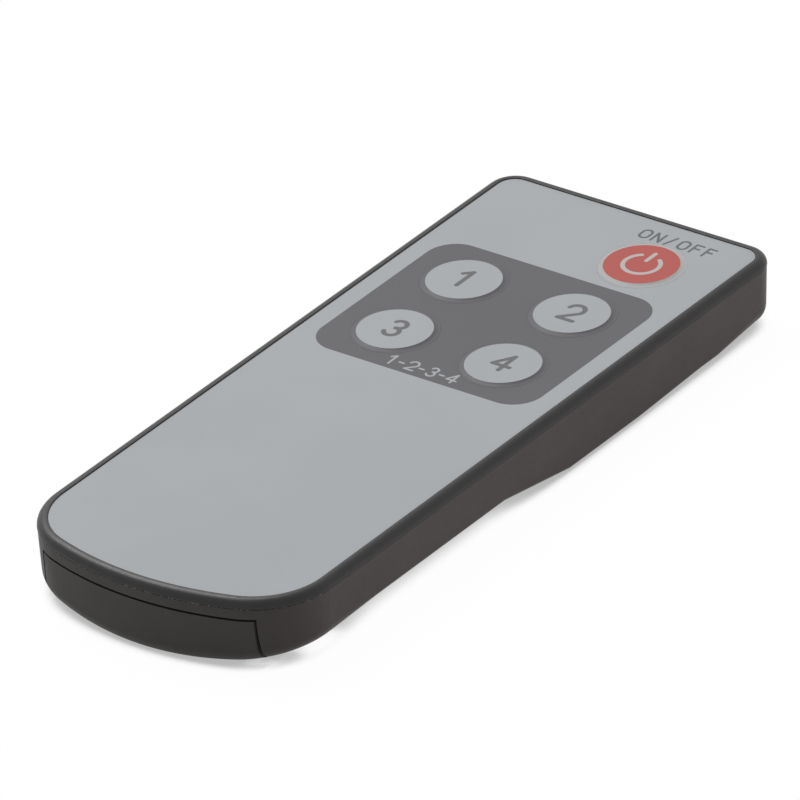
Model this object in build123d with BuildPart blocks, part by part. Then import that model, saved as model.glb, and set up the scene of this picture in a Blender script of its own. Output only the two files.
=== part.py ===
from build123d import *
from math import sqrt
import os

# Slim infrared remote control, in millimetres.
# X runs across it, Y along it with the lamp at the +Y end, and Z up from the surface that it lies on.

# Face and outline
face_width = 40.2
face_length = 106.4
face_height = 10.0
near_radius = 44.0
near_corner = 9.4
far_corner = 2.4

# Rounded rim of the upper moulding
rim_width = 1.5
rim_rise = 0.15
rim_skirt = 1.05
rim_round = 1.15
rim_inner_round = 0.12
rim_overhang = 0.05
label_play = 0.05
seam_margin = 0.05

# Layers below the face, from the top
film = 0.3
adhesive = 0.1
adhesive_inset = 0.4
lid_plate = 0.8
spacer_sheet = 0.2
board_thickness = 1.0

# Lower moulding
wall = 1.5
floor = 1.2
side_draft = 0.55
groove_height = 0.1
groove_depth = 0.12
end_crown = 105.0
near_crown = 78.0
middle_crown = 440.0
far_crown = 210.0
rest_cut = 0.1
near_edge_round = 2.0
side_edge_round = 0.7
far_edge_round = 2.5
round_fade = 9.0

# Underside, each place measured back from the far end of the rim
near_crown_end = 59.7
middle_start = 45.7
middle_end = 30.7
far_crown_start = 17.2

# Keys
key_radius = 5.0
key_foot = 0.75
key_rise = 0.2
key_gap = 0.05
key_hole_gap = 0.25
key_left = -8.85
key_right = 8.25
key_row_pitch = 14.95
power_key_x = 8.5
power_row_from_end = 10.5
pip_radius = 1.5
pip_gap = 0.05

# Snap domes
dome_radius = 4.2
dome_height = 0.5
dome_metal = 0.1
dome_foot = 0.3
dome_play = 0.3

# Battery tray
tray_margin = 3.7
tray_gap = 0.3
tray_length = 33.7
tray_front_wall = 2.0
tray_drop = 2.8
tray_deck = 2.2
tray_wall = 1.5
flare = 0.7
flare_gap = 0.35
runner_over_floor = 0.5
runner_thickness = 0.95
runner_inset = 0.2
runner_play = 0.1

# Cell and the pocket that it lies in
cell_diameter = 20.0
cell_thickness = 2.5
cell_from_near = 18.7
cell_seat = 1.3
cell_play = 0.15
cell_cap = 17.4
cell_step = 0.3
cell_round = 0.4
pocket_wall = 1.2
pocket_rim = 3.4

# Latch arm at the side of the tray
arm_width = 1.4
arm_slot = 1.0
arm_below_runner = 0.25
arm_root = 27.4
arm_from_panel = 0.85
arm_play = 0.05
hook_reach = 0.75
hook_length = 1.6
hook_flat = 0.5
hook_from_front = 1.6
hook_play = 0.3
lug_length = 2.8
nail_notch = 2.2
nail_notch_length = 6.0
nail_notch_from_near = 13.2
nail_notch_round = 0.9

# Rails for the tray
rail_from_near = 6.2
rail_wall = 1.2
rail_play = 0.3
rail_roof = 1.0
roof_reach = 1.2

# Board, its posts and rests
board_margin = 3.0
board_near_gap = 8.7
board_far_gap = 5.7
board_corner = 1.5
post_inset = 5.0
post_radius = 1.8
pin_radius = 0.95
pin_play = 0.1
far_post = 7.2
post_behind_rails = 6.7
rest_width = 3.0
rest_overlap = 1.5
rest_from_rail_start = 6.0
rest_from_rail_end = 4.0

# Tongue and snaps between the mouldings
tongue = 1.0
tongue_depth = 0.9
tongue_play = 0.1
snap_rows = (-30.0, 0.0, 30.0)
snap_length = 6.0
snap_reach = 0.45
snap_height = 0.35
snap_play = 0.1

# Lamp
lamp_radius = 2.5
lamp_flange = 0.4
lamp_flange_thickness = 1.0
lamp_length = 8.6
lamp_play = 0.1
lamp_drop = 3.0
lamp_tip_inset = 0.2
lead_size = 0.5
lead_pitch = 2.54
lead_run = 2.0

# Contact strips
strip = 0.25
strip_width = 4.0
strip_foot = 3.0
strip_play = 0.08
leaf_run = 4.2
leaf_flat = 0.8
tip_rise = 1.0
finger_run = 4.0
finger_tip = 1.25

# Parts on the underside of the board
chip_size = (12.8, 7.5, 2.3)
chip_place = (-3.0, 2.0)
chip_stand = 0.1
leg_count = 10
leg_pitch = 1.27
leg_size = (0.4, 0.6, 0.2)
resonator_size = (7.0, 2.8, 3.5)
resonator_place = (10.0, -9.0)
can_radius = 2.5
can_height = 5.0
can_base = (5.3, 5.3, 0.5)
can_place = (10.0, 2.0)
resistor_size = (2.0, 1.25, 0.55)
resistor_place = (-3.0, 18.0)
resistor_pitch = 4.0
transistor_size = (2.9, 1.3, 1.0)
transistor_place = (6.0, 36.0)
transistor_leg = (0.4, 0.6, 0.15)
transistor_leg_pitch = 0.95

# Levels and places worked out from the sizes above
face_half = face_width / 2
label_bottom = face_height - film
plate_top = label_bottom - adhesive
plate_bottom = plate_top - lid_plate
board_top = plate_bottom - spacer_sheet
board_bottom = board_top - board_thickness
parting = face_height - rim_skirt
rim_top = face_height + rim_rise
shell_side = rim_width - rim_overhang
low_side = shell_side - side_draft
cavity_side = shell_side - wall
tongue_side = cavity_side - tongue_play
near_end = -face_length / 2 - rim_width
far_end = face_length / 2 + rim_width
arc_centre = -face_length / 2 + near_radius
power_row = face_length / 2 - power_row_from_end
upper_row = power_row - key_row_pitch
lower_row = upper_row - key_row_pitch
foot_radius = key_radius + key_foot
key_hole = foot_radius + key_hole_gap
key_places = {
    "key_1": (key_left, upper_row),
    "key_2": (key_right, upper_row),
    "key_3": (key_left, lower_row),
    "key_4": (key_right, lower_row),
    "power_key": (power_key_x, power_row),
}
tray_half = face_half - tray_margin
tray_top = face_height - tray_drop
tray_end = near_end + tray_length
panel_back = shell_side - tray_front_wall
runner_outer = tray_half - runner_inset
floor_rise = near_crown - sqrt(near_crown**2 - runner_outer**2)
runner_level = floor + floor_rise + runner_over_floor
runner_top = runner_level + runner_thickness
arm_top = runner_level - arm_below_runner
arm_inner = runner_outer - arm_width
corner_x = face_half - near_corner
corner_y = arc_centre - sqrt((near_radius - near_corner) ** 2 - corner_x**2)
panel_at_arm = corner_y - sqrt((near_corner + panel_back) ** 2 - (runner_outer - corner_x) ** 2)
arm_front = panel_at_arm + arm_from_panel
deck_half = arm_inner - arm_slot
cell_y = near_end + cell_from_near
cell_top = cell_seat + cell_thickness
pocket_radius = cell_diameter / 2 + cell_play
rail_inner = runner_outer + rail_play
rail_outer = rail_inner + rail_wall
rail_start = near_end + rail_from_near
rail_end = tray_end + tray_gap
hinge_x = (arm_inner + runner_outer) / 2
hinge_y = near_end + arm_root
hook_y = arm_front + hook_from_front
board_half = face_half - board_margin
board_near = near_end + board_near_gap
board_far = far_end - board_far_gap
post_x = face_half - post_inset
post_rows = (far_end - far_post, rail_end + post_behind_rails)
post_places = [(side * post_x, row) for side in (-1, 1) for row in post_rows]
lamp_z = board_bottom - lamp_drop
lamp_back = far_end - lamp_tip_inset - lamp_length
beyond = 3 * rim_width

# Places along the underside where its cross-section changes, each with its crown and its edge rounding
near_cap = corner_y + 1
far_cap = face_length / 2 - far_corner - rim_width / 3
underside = [
    (near_cap, end_crown, near_edge_round),
    (near_cap + round_fade, near_crown, side_edge_round),
    (far_end - near_crown_end, near_crown, side_edge_round),
    (far_end - middle_start, middle_crown, side_edge_round),
    (far_end - middle_end, middle_crown, side_edge_round),
    (far_end - far_crown_start, far_crown, side_edge_round),
    (far_cap - round_fade, far_crown, side_edge_round),
    (far_cap, far_crown, far_edge_round),
]

os.makedirs("parts", exist_ok=True)


def finish(piece, name):
    """Name a finished piece and write it."""
    piece.part.label = name
    export_step(piece.part, f"parts/{name}.step")


def case_outline(side, near=None):
    """Plan outline of the face, moved out by so much all round, or by another amount at its near end."""
    near = side if near is None else near
    half = face_half + side
    radius = near_radius + near
    shoulder = arc_centre - sqrt(radius**2 - half**2)
    end = face_length / 2 + side
    with BuildSketch(mode=Mode.PRIVATE) as outline:
        with BuildLine():
            ThreePointArc((-half, shoulder), (0, arc_centre - radius), (half, shoulder))
            Polyline((half, shoulder), (half, end), (-half, end), (-half, shoulder))
        make_face()
        fillet(outline.vertices().group_by(Axis.Y)[0], near_corner + near)
        fillet(outline.vertices().group_by(Axis.Y)[-1], far_corner + side)
    return outline.sketch


def crown_face(crown, rise=0.0):
    """Cross-section of all that lies above a crowned underside, wider and higher than the object."""
    half = face_half + beyond
    middle = rise - rest_cut
    edge = middle + crown - sqrt(crown**2 - half**2)
    top = face_height + beyond
    with BuildSketch(mode=Mode.PRIVATE) as face:
        with BuildLine():
            ThreePointArc((-half, edge), (0, middle), (half, edge))
            Polyline((half, edge), (half, top), (-half, top), (-half, edge))
        make_face()
    return face.sketch


def shell_section(y, crown, edge_round):
    """Cross-section of the outer form at a place along it, with its rounded lower edges."""
    top_half = face_half + shell_side
    low_half = face_half + low_side
    with BuildSketch(Plane.XZ.offset(-y)) as section:
        add(crown_face(crown))
        with BuildLine():
            Polyline((low_half, -1), (top_half, parting), (-top_half, parting), (-low_half, -1), close=True)
        make_face(mode=Mode.INTERSECT)
        fillet(section.vertices().group_by(Axis.Y)[0], edge_round)
    return section.sketch


def block_at(x_range, y_range, z_range):
    """Plain block between two places along each axis."""
    lows = [min(pair) for pair in (x_range, y_range, z_range)]
    highs = [max(pair) for pair in (x_range, y_range, z_range)]
    sizes = [high - low for low, high in zip(lows, highs)]
    return Pos(*lows) * Box(*sizes, align=(Align.MIN, Align.MIN, Align.MIN), mode=Mode.PRIVATE)


def tray_front_block(grow, low_right):
    """Block in the tray's place in the near wall, grown by so much, its lower right corner set out."""
    half = tray_half + grow
    top = tray_top + grow
    with BuildPart(mode=Mode.PRIVATE) as front:
        with BuildSketch(Plane.XZ.offset(-rail_start - beyond)):
            with BuildLine():
                TangentArc((half, top), (half + low_right, -1), tangent=(0, -1))
                Polyline((half + low_right, -1), (-half, -1), (-half, top), (half, top))
            make_face()
        extrude(amount=rail_start + 2 * beyond - near_end)
        with BuildSketch(Plane.XY.offset(-2)):
            add(case_outline(panel_back - grow))
        extrude(amount=2 * face_height, mode=Mode.SUBTRACT)
    return front.part


# Walls of the lower moulding with their draft, which its near end doesn't have
with BuildPart() as drafted_block:
    with BuildSketch(Plane.XY.offset(parting)):
        add(case_outline(shell_side))
    with BuildSketch(Plane.XY.offset(-1)):
        add(case_outline(low_side, near=shell_side))
    loft(ruled=True)

# Near end of the outer form, with its rounded lower edge
with BuildPart() as near_form:
    with BuildSketch(Plane.XZ.offset(-near_cap)):
        add(crown_face(end_crown))
    extrude(amount=beyond + near_cap - near_end)
    add(drafted_block.part, mode=Mode.INTERSECT)
    lowest = near_form.faces().sort_by(Axis.Z)[0]
    fillet(lowest.edges().filter_by(lambda e: e.center().Y < near_cap - seam_margin), near_edge_round)

# Far end of the outer form
with BuildPart() as far_form:
    with BuildSketch(Plane.XZ.offset(-far_cap)):
        add(crown_face(far_crown))
    extrude(amount=far_cap - far_end - beyond)
    add(drafted_block.part, mode=Mode.INTERSECT)
    lowest = far_form.faces().sort_by(Axis.Z)[0]
    fillet(lowest.edges().filter_by(lambda e: e.center().Y > far_cap + seam_margin), far_edge_round)

# Whole outer form of the lower moulding, cut flat where it rests
with BuildPart() as outer_form:
    for y, crown, edge_round in underside:
        add(shell_section(y, crown, edge_round))
    loft(ruled=True)
    add(near_form.part)
    add(far_form.part)
    split(bisect_by=Plane.XY, keep=Keep.TOP)

# Space inside the lower moulding, over its floor
with BuildPart() as cavity:
    stations = [(2 * near_end, end_crown, 0)] + underside[:6] + [(2 * far_end, far_crown, 0)]
    for y, crown, edge_round in stations:
        with BuildSketch(Plane.XZ.offset(-y)):
            add(crown_face(crown, rise=floor + rest_cut))
    loft(ruled=True)
    with BuildSketch():
        add(case_outline(cavity_side))
    extrude(amount=face_height, mode=Mode.INTERSECT)

# Walls and floor of the lower moulding
with BuildPart() as lower_shell:
    add(outer_form.part)
    add(cavity.part, mode=Mode.SUBTRACT)

# Lower moulding: first what stands inside it, trimmed to the outer form, then its walls and floor
with BuildPart() as bottom_case:
    rail_run = (rail_start, rail_end)
    roof_top = runner_top + rail_roof
    for side in (-1, 1):
        add(block_at((side * rail_inner, side * rail_outer), rail_run, (0, roof_top)))
        add(block_at((side * (runner_outer - roof_reach), side * rail_outer), rail_run,
                     (runner_top + runner_play, roof_top)))
        for rest_y in (rail_start + rest_from_rail_start, rail_end - rest_from_rail_end):
            add(block_at((side * (board_half - rest_overlap), side * rail_outer),
                         (rest_y - rest_width / 2, rest_y + rest_width / 2), (roof_top, board_bottom)))
    ledge_top = runner_level - runner_play
    lug_end = hinge_y + lug_length + tray_gap
    add(block_at((-rail_inner, -deck_half - tray_gap), rail_run, (0, ledge_top)))
    add(block_at((rail_inner, deck_half + tray_gap), (lug_end, rail_end), (0, ledge_top)))
    with BuildSketch():
        with Locations(*post_places):
            Circle(post_radius)
    extrude(amount=board_bottom)
    with BuildSketch():
        with Locations(*post_places):
            Circle(pin_radius)
    extrude(amount=plate_bottom - pin_play)
    add(outer_form.part, mode=Mode.INTERSECT)
    add(lower_shell.part)
    # Place of the tray: its front in the near wall, its deck and its latch arm in the floor
    add(tray_front_block(tray_gap, flare + flare_gap), mode=Mode.SUBTRACT)
    open_half = deck_half + tray_gap
    open_run = (2 * near_end, rail_end)
    add(block_at((-open_half, open_half), open_run, (-1, ledge_top)), mode=Mode.SUBTRACT)
    add(block_at((0, rail_inner), (2 * near_end, lug_end), (-1, ledge_top)), mode=Mode.SUBTRACT)
    add(block_at((0, runner_outer + hook_reach + hook_play),
                 (hook_y - hook_play, hook_y + hook_length + hook_play), (-1, ledge_top)), mode=Mode.SUBTRACT)
    with BuildSketch(Plane.XY.offset(-1)):
        with Locations((rail_inner + nail_notch / 2, near_end + nail_notch_from_near)):
            RectangleRounded(nail_notch + nail_notch_round, nail_notch_length, nail_notch_round)
    extrude(amount=1 + ledge_top, mode=Mode.SUBTRACT)
    # Groove along the parting line, recesses for the snaps, and the hole for the lamp
    with BuildSketch(Plane.XY.offset(parting - groove_height)):
        add(case_outline(shell_side + 1))
        add(case_outline(shell_side - groove_depth), mode=Mode.SUBTRACT)
    extrude(amount=groove_height, mode=Mode.SUBTRACT)
    snap_level = plate_bottom - tongue_depth + snap_play
    for side in (-1, 1):
        for row in snap_rows:
            wall_x = side * (face_half + cavity_side)
            add(block_at((wall_x - side, wall_x + side * (snap_reach + snap_play)),
                         (row - snap_length / 2 - snap_play, row + snap_length / 2 + snap_play),
                         (snap_level - snap_play, snap_level + snap_height + snap_play)), mode=Mode.SUBTRACT)
    with BuildSketch(Plane.XZ.offset(-far_end - 1)):
        with Locations((0, lamp_z)):
            Circle(lamp_radius + lamp_play)
    extrude(amount=1 + 2 * wall + rim_width, mode=Mode.SUBTRACT)
finish(bottom_case, "bottom_case")

# Upper moulding: rim, plate under the film, tongue with its snaps
with BuildPart() as top_case:
    with BuildSketch(Plane.XY.offset(parting)):
        add(case_outline(rim_width))
    extrude(amount=rim_top - parting)
    fillet(top_case.faces().sort_by(Axis.Z)[-1].edges(), rim_round)
    with BuildSketch(Plane.XY.offset(plate_top)):
        add(case_outline(label_play))
    extrude(amount=1 + rim_rise, mode=Mode.SUBTRACT)
    crest = top_case.faces().filter_by(Axis.Z).sort_by(Axis.Z)[-1]
    fillet(crest.inner_wires()[0].edges(), rim_inner_round)
    with BuildSketch(Plane.XY.offset(plate_bottom - tongue_depth)):
        add(case_outline(tongue_side))
        add(case_outline(tongue_side - tongue), mode=Mode.SUBTRACT)
    extrude(amount=tongue_depth + plate_top - plate_bottom)
    with BuildSketch(Plane.XY.offset(plate_bottom)):
        add(case_outline(tongue_side))
    extrude(amount=plate_top - plate_bottom)
    for side in (-1, 1):
        for row in snap_rows:
            wall_x = side * (face_half + tongue_side)
            snap_low = plate_bottom - tongue_depth + snap_play
            add(block_at((wall_x - side * tongue / 2, wall_x + side * snap_reach),
                         (row - snap_length / 2, row + snap_length / 2), (snap_low, snap_low + snap_height)))
    with BuildSketch(Plane.XY.offset(plate_bottom - 1)):
        with Locations(*key_places.values()):
            Circle(key_hole)
    extrude(amount=3, mode=Mode.SUBTRACT)
finish(top_case, "top_case")

# Sheet that holds the film down
with BuildPart() as label_adhesive:
    with BuildSketch(Plane.XY.offset(plate_top)):
        add(case_outline(-adhesive_inset))
        with Locations(*key_places.values()):
            Circle(key_hole, mode=Mode.SUBTRACT)
    extrude(amount=adhesive)
finish(label_adhesive, "label_adhesive")

# Printed film over the whole face
with BuildPart() as face_label:
    with BuildSketch(Plane.XY.offset(label_bottom)):
        add(case_outline(0))
        with Locations(*key_places.values()):
            Circle(foot_radius + key_gap, mode=Mode.SUBTRACT)
    extrude(amount=film)
finish(face_label, "face_label")

# Keys, each a raised disc on a foot that flattens outwards, with a pip below it, and the dome under it
dome_top = board_top + dome_height
dome_names = {"power_key": "snap_dome_power"}
for name, (x, y) in key_places.items():
    upright = Plane(origin=(x, y, 0), x_dir=(1, 0, 0), z_dir=(0, -1, 0))
    middle = Axis((x, y, 0), (0, 0, 1))
    with BuildPart() as key:
        with BuildSketch(upright):
            with BuildLine():
                rise = face_height + key_rise
                pip_end = dome_top + pip_gap
                Polyline((key_radius, rise), (0, rise), (0, pip_end), (pip_radius, pip_end),
                         (pip_radius, label_bottom), (foot_radius, label_bottom),
                         (foot_radius, face_height))
                TangentArc((foot_radius, face_height), (key_radius, rise), tangent=(-1, 0))
            make_face()
        revolve(axis=middle)
    finish(key, name)
    with BuildPart() as dome:
        with BuildSketch(upright):
            with BuildLine():
                foot_inner = dome_radius - dome_foot
                TangentArc((0, dome_top), (dome_radius, board_top), tangent=(1, 0))
                Line((dome_radius, board_top), (foot_inner, board_top))
                TangentArc((0, dome_top - dome_metal), (foot_inner, board_top), tangent=(1, 0))
                Line((0, dome_top - dome_metal), (0, dome_top))
            make_face()
        revolve(axis=middle)
    finish(dome, dome_names.get(name, name.replace("key", "snap_dome")))

# Sheet round the domes, and the board under it
board_middle = (board_near + board_far) / 2
board_length = board_far - board_near
with BuildPart() as dome_spacer:
    with BuildSketch(Plane.XY.offset(board_top)):
        with Locations((0, board_middle)):
            RectangleRounded(2 * board_half, board_length, board_corner)
        with Locations(*key_places.values()):
            Circle(dome_radius + dome_play, mode=Mode.SUBTRACT)
        with Locations(*post_places):
            Circle(pin_radius + pin_play, mode=Mode.SUBTRACT)
    extrude(amount=spacer_sheet)
finish(dome_spacer, "dome_spacer")

with BuildPart() as circuit_board:
    with BuildSketch(Plane.XY.offset(board_bottom)):
        with Locations((0, board_middle)):
            RectangleRounded(2 * board_half, board_length, board_corner)
        with Locations(*post_places):
            Circle(pin_radius + pin_play, mode=Mode.SUBTRACT)
    extrude(amount=board_thickness)
finish(circuit_board, "circuit_board")

# Parts soldered to the underside of the board
chip_x, chip_y = chip_place
leg_width, leg_reach, leg_thickness = leg_size
with BuildPart() as controller_chip:
    with Locations((chip_x, chip_y, board_bottom - chip_stand - chip_size[2] / 2)):
        Box(*chip_size)
    for side in (-1, 1):
        edge = chip_y + side * chip_size[1] / 2
        waist = board_bottom - chip_stand - chip_size[2] / 2
        for index in range(leg_count):
            left = chip_x + (index - (leg_count - 1) / 2) * leg_pitch - leg_width / 2
            across = (left, left + leg_width)
            bend = edge + side * leg_reach
            add(block_at(across, (edge, bend), (waist, waist + leg_thickness)))
            add(block_at(across, (bend - side * leg_thickness, bend), (waist, board_bottom)))
            add(block_at(across, (bend, bend + side * leg_reach),
                         (board_bottom - leg_thickness, board_bottom)))
finish(controller_chip, "controller_chip")

with BuildPart() as resonator:
    with Locations((*resonator_place, board_bottom - resonator_size[2] / 2)):
        Box(*resonator_size)
    fillet(resonator.edges().filter_by(Axis.Z), resonator_size[1] / 3)
    fillet(resonator.faces().sort_by(Axis.Z)[0].edges(), resonator_size[1] / 6)
finish(resonator, "resonator")

with BuildPart() as capacitor:
    with Locations((*can_place, board_bottom - can_base[2] / 2)):
        Box(*can_base)
    with Locations((*can_place, board_bottom - can_base[2] - can_height / 2)):
        Cylinder(can_radius, can_height)
    fillet(capacitor.faces().sort_by(Axis.Z)[0].edges(), can_radius / 6)
finish(capacitor, "capacitor")

with BuildPart() as chip_resistors:
    with Locations((*resistor_place, board_bottom - resistor_size[2] / 2)):
        with GridLocations(resistor_pitch, resistor_pitch, 3, 2):
            Box(*resistor_size)
finish(chip_resistors, "chip_resistors")

transistor_x, transistor_y = transistor_place
with BuildPart() as driver_transistor:
    with Locations((*transistor_place, board_bottom - transistor_size[2] / 2)):
        Box(*transistor_size)
    chamfer(driver_transistor.faces().sort_by(Axis.Z)[0].edges(), transistor_size[2] / 6)
    for side, shift in ((-1, -1), (-1, 1), (1, 0)):
        leg_middle = transistor_x + shift * transistor_leg_pitch
        edge = transistor_y + side * transistor_size[1] / 2
        add(block_at((leg_middle - transistor_leg[0] / 2, leg_middle + transistor_leg[0] / 2),
                     (edge, edge + side * transistor_leg[1]),
                     (board_bottom - transistor_leg[2], board_bottom)))
finish(driver_transistor, "driver_transistor")

# Infrared lamp: flange, domed lens and two leads bent up to the board
with BuildPart() as ir_lamp:
    with BuildSketch(Plane(origin=(0, 0, lamp_z), x_dir=(1, 0, 0), z_dir=(0, 0, 1))):
        with BuildLine():
            flange_end = lamp_back + lamp_flange_thickness
            lamp_tip = lamp_back + lamp_length
            dome_start = lamp_tip - lamp_radius
            Polyline((0, lamp_tip), (0, lamp_back), (lamp_radius + lamp_flange, lamp_back),
                     (lamp_radius + lamp_flange, flange_end), (lamp_radius, flange_end),
                     (lamp_radius, dome_start))
            TangentArc((lamp_radius, dome_start), (0, lamp_tip), tangent=(0, 1))
        make_face()
    revolve(axis=Axis((0, 0, lamp_z), (0, 1, 0)))
    for side in (-1, 1):
        lead_x = side * lead_pitch / 2
        across = (lead_x - lead_size / 2, lead_x + lead_size / 2)
        lead_end = lamp_back - lead_run
        add(block_at(across, (lead_end, lamp_back), (lamp_z - lead_size / 2, lamp_z + lead_size / 2)))
        add(block_at(across, (lead_end, lead_end + lead_size), (lamp_z - lead_size / 2, board_bottom)))
finish(ir_lamp, "ir_led")


def contact_strip(points):
    """Sprung strip along a bent line of (y, z) points, centred across the object."""
    with BuildPart(mode=Mode.PRIVATE) as contact:
        with BuildSketch(Plane.YZ):
            with BuildLine():
                Polyline(*points)
            trace(line_width=strip)
        extrude(amount=strip_width / 2, both=True)
    return contact


foot_level = board_bottom - strip / 2
leaf_level = cell_top + strip_play + strip / 2
leaf_start = cell_y - leaf_flat - leaf_run
negative_contact = contact_strip([
    (leaf_start - strip_foot, foot_level), (leaf_start, foot_level), (cell_y - leaf_flat, leaf_level),
    (cell_y + leaf_flat, leaf_level), (cell_y + leaf_flat + tip_rise, leaf_level + tip_rise),
])
finish(negative_contact, "negative_contact")

cell_side = cell_y + cell_diameter / 2 + strip_play + strip
finger_start = cell_side + finger_run
positive_contact = contact_strip([
    (finger_start + strip_foot, foot_level), (finger_start, foot_level),
    (cell_side, cell_top - cell_thickness / 3),
    (cell_side + strip_foot / 4, cell_seat + finger_tip),
])
finish(positive_contact, "positive_contact")

# Cell: can with a smaller cap on top
with BuildPart() as coin_cell:
    with Locations((0, cell_y, cell_seat)):
        Cylinder(cell_diameter / 2, cell_thickness - cell_step, align=(Align.CENTER, Align.CENTER, Align.MIN))
    fillet(coin_cell.edges(), cell_round)
    with Locations((0, cell_y, cell_top - cell_step)):
        Cylinder(cell_cap / 2, cell_step, align=(Align.CENTER, Align.CENTER, Align.MIN))
finish(coin_cell, "coin_cell")

# Battery tray: its front lies flush in the near wall and its deck flush in the underside
with BuildPart() as battery_tray:
    add(tray_front_block(0, flare))
    tray_run = (near_end, tray_end)
    add(block_at((-deck_half, deck_half), tray_run, (-1, tray_deck)))
    for side in (-1, 1):
        add(block_at((side * (deck_half - tray_wall), side * deck_half), tray_run, (-1, runner_top)))
        add(block_at((side * deck_half, side * runner_outer), tray_run, (runner_level, runner_top)))
    add(block_at((deck_half, runner_outer), (hinge_y, hinge_y + lug_length), (-1, runner_top)))
    with BuildSketch():
        with Locations((0, cell_y)):
            Circle(pocket_radius + pocket_wall)
    extrude(amount=pocket_rim)
    add(outer_form.part, mode=Mode.INTERSECT)
    with BuildSketch(Plane.XY.offset(cell_seat)):
        with Locations((0, cell_y)):
            Circle(pocket_radius)
    extrude(amount=face_height, mode=Mode.SUBTRACT)
    contact_gap = strip_width / 2 + pocket_wall
    add(block_at((-contact_gap, contact_gap), (cell_y, tray_end + 1), (tray_deck, face_height)),
        mode=Mode.SUBTRACT)
    with BuildSketch(Plane.XY.offset(-1)):
        with Locations((hinge_x, hinge_y)):
            Circle(arm_width / 2 + arm_play)
    extrude(amount=1 + arm_top + runner_play, mode=Mode.SUBTRACT)
finish(battery_tray, "battery_tray")

# Latch arm, with a hook near its front and a round root that turns in the tray's lug
with BuildPart() as tray_latch:
    with BuildSketch():
        with BuildLine():
            Polyline((arm_inner, hinge_y), (arm_inner, arm_front), (runner_outer, arm_front),
                     (runner_outer, hook_y),
                     (runner_outer + hook_reach, hook_y), (runner_outer + hook_reach, hook_y + hook_flat),
                     (runner_outer, hook_y + hook_length), (runner_outer, hinge_y), close=True)
        make_face()
        with Locations((hinge_x, hinge_y)):
            Circle(arm_width / 2)
    extrude(amount=arm_top)
    add(outer_form.part, mode=Mode.INTERSECT)
finish(tray_latch, "tray_latch")
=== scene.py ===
"""Looks of a slim infrared remote control, dressed round its packed construction.

The shapes of the case, film, keys, tray and inner parts come from the frame. This script gives each of them
its finish, adds the small pieces that the construction leaves out, and puts a thin shell in the place of each
snap dome. It also sets the floor, the light and the camera.
"""
from __future__ import annotations

import logging
import math
from dataclasses import dataclass
from enum import Enum

import bmesh
import bpy
from mathutils import Matrix, Vector


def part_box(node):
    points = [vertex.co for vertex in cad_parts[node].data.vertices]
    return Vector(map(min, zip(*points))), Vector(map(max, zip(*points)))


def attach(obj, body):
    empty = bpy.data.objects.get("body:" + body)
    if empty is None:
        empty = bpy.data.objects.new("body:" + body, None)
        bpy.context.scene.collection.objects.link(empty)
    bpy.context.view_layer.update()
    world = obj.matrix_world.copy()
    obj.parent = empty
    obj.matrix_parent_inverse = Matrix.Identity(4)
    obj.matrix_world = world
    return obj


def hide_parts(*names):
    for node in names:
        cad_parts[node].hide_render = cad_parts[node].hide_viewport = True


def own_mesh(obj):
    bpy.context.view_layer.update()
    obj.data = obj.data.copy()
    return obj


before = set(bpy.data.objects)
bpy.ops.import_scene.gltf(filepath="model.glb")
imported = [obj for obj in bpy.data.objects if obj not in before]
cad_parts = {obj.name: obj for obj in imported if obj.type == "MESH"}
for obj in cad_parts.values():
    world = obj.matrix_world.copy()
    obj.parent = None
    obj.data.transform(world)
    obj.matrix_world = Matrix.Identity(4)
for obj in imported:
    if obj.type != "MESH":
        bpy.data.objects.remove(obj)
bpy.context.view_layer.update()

log = logging.getLogger("remote_control")

MM = 0.001
NUMBERS = ("1", "2", "3", "4")
KEY_DOMES = {f"key_{number}": f"snap_dome_{number}" for number in NUMBERS}
KEY_DOMES["power_key"] = "snap_dome_power"

# Half the width of the soft edge round a print, in millimetres.
INK_EDGE = 0.03
# Noise runs from 0 to 1, and most of it lies between these levels.
LOW_NOISE = 0.3
HIGH_NOISE = 0.7
SCREEN_WHITE = 255
BLACK = (0.0, 0.0, 0.0, 1.0)
WHITE = (1.0, 1.0, 1.0, 1.0)

Socket = bpy.types.NodeSocket
Value = Socket | float | int
Triple = tuple[float, float, float]
Pair = tuple[float, float]
Tone = tuple[int, int, int]


def linear(tone: Tone) -> tuple[float, float, float, float]:
    """Turn a screen tone into the linear colour that a shader takes.

    Args:
        tone: Red, green and blue from 0 to 255, as a screen shows them.

    Returns:
        Linear red, green and blue, with full alpha.
    """
    knee, slope, lift, power = 0.04045, 12.92, 0.055, 2.4
    parts = [channel / SCREEN_WHITE for channel in tone]
    steps = [part / slope if part <= knee else ((part + lift) / (1 + lift)) ** power for part in parts]
    return (steps[0], steps[1], steps[2], 1.0)


def shaded(tone: Tone, factor: float) -> Tone:
    """Make a tone darker or lighter by a factor."""
    red, green, blue = (min(SCREEN_WHITE, int(channel * factor)) for channel in tone)
    return red, green, blue


class Body(Enum):
    """Bodies of the remote that carry new pieces."""

    HOUSING = "housing"
    TRAY = "tray"


class Axis(Enum):
    """The remote's own axes, in the order of its coordinates."""

    ACROSS = 0
    ALONG = 1
    UP = 2


class Part(Enum):
    """Kinds of input that a node group takes or gives."""

    NUMBER = "NodeSocketFloat"
    WHOLE = "NodeSocketInt"
    VECTOR = "NodeSocketVector"
    SHAPE = "NodeSocketGeometry"
    MATERIAL = "NodeSocketMaterial"


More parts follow.
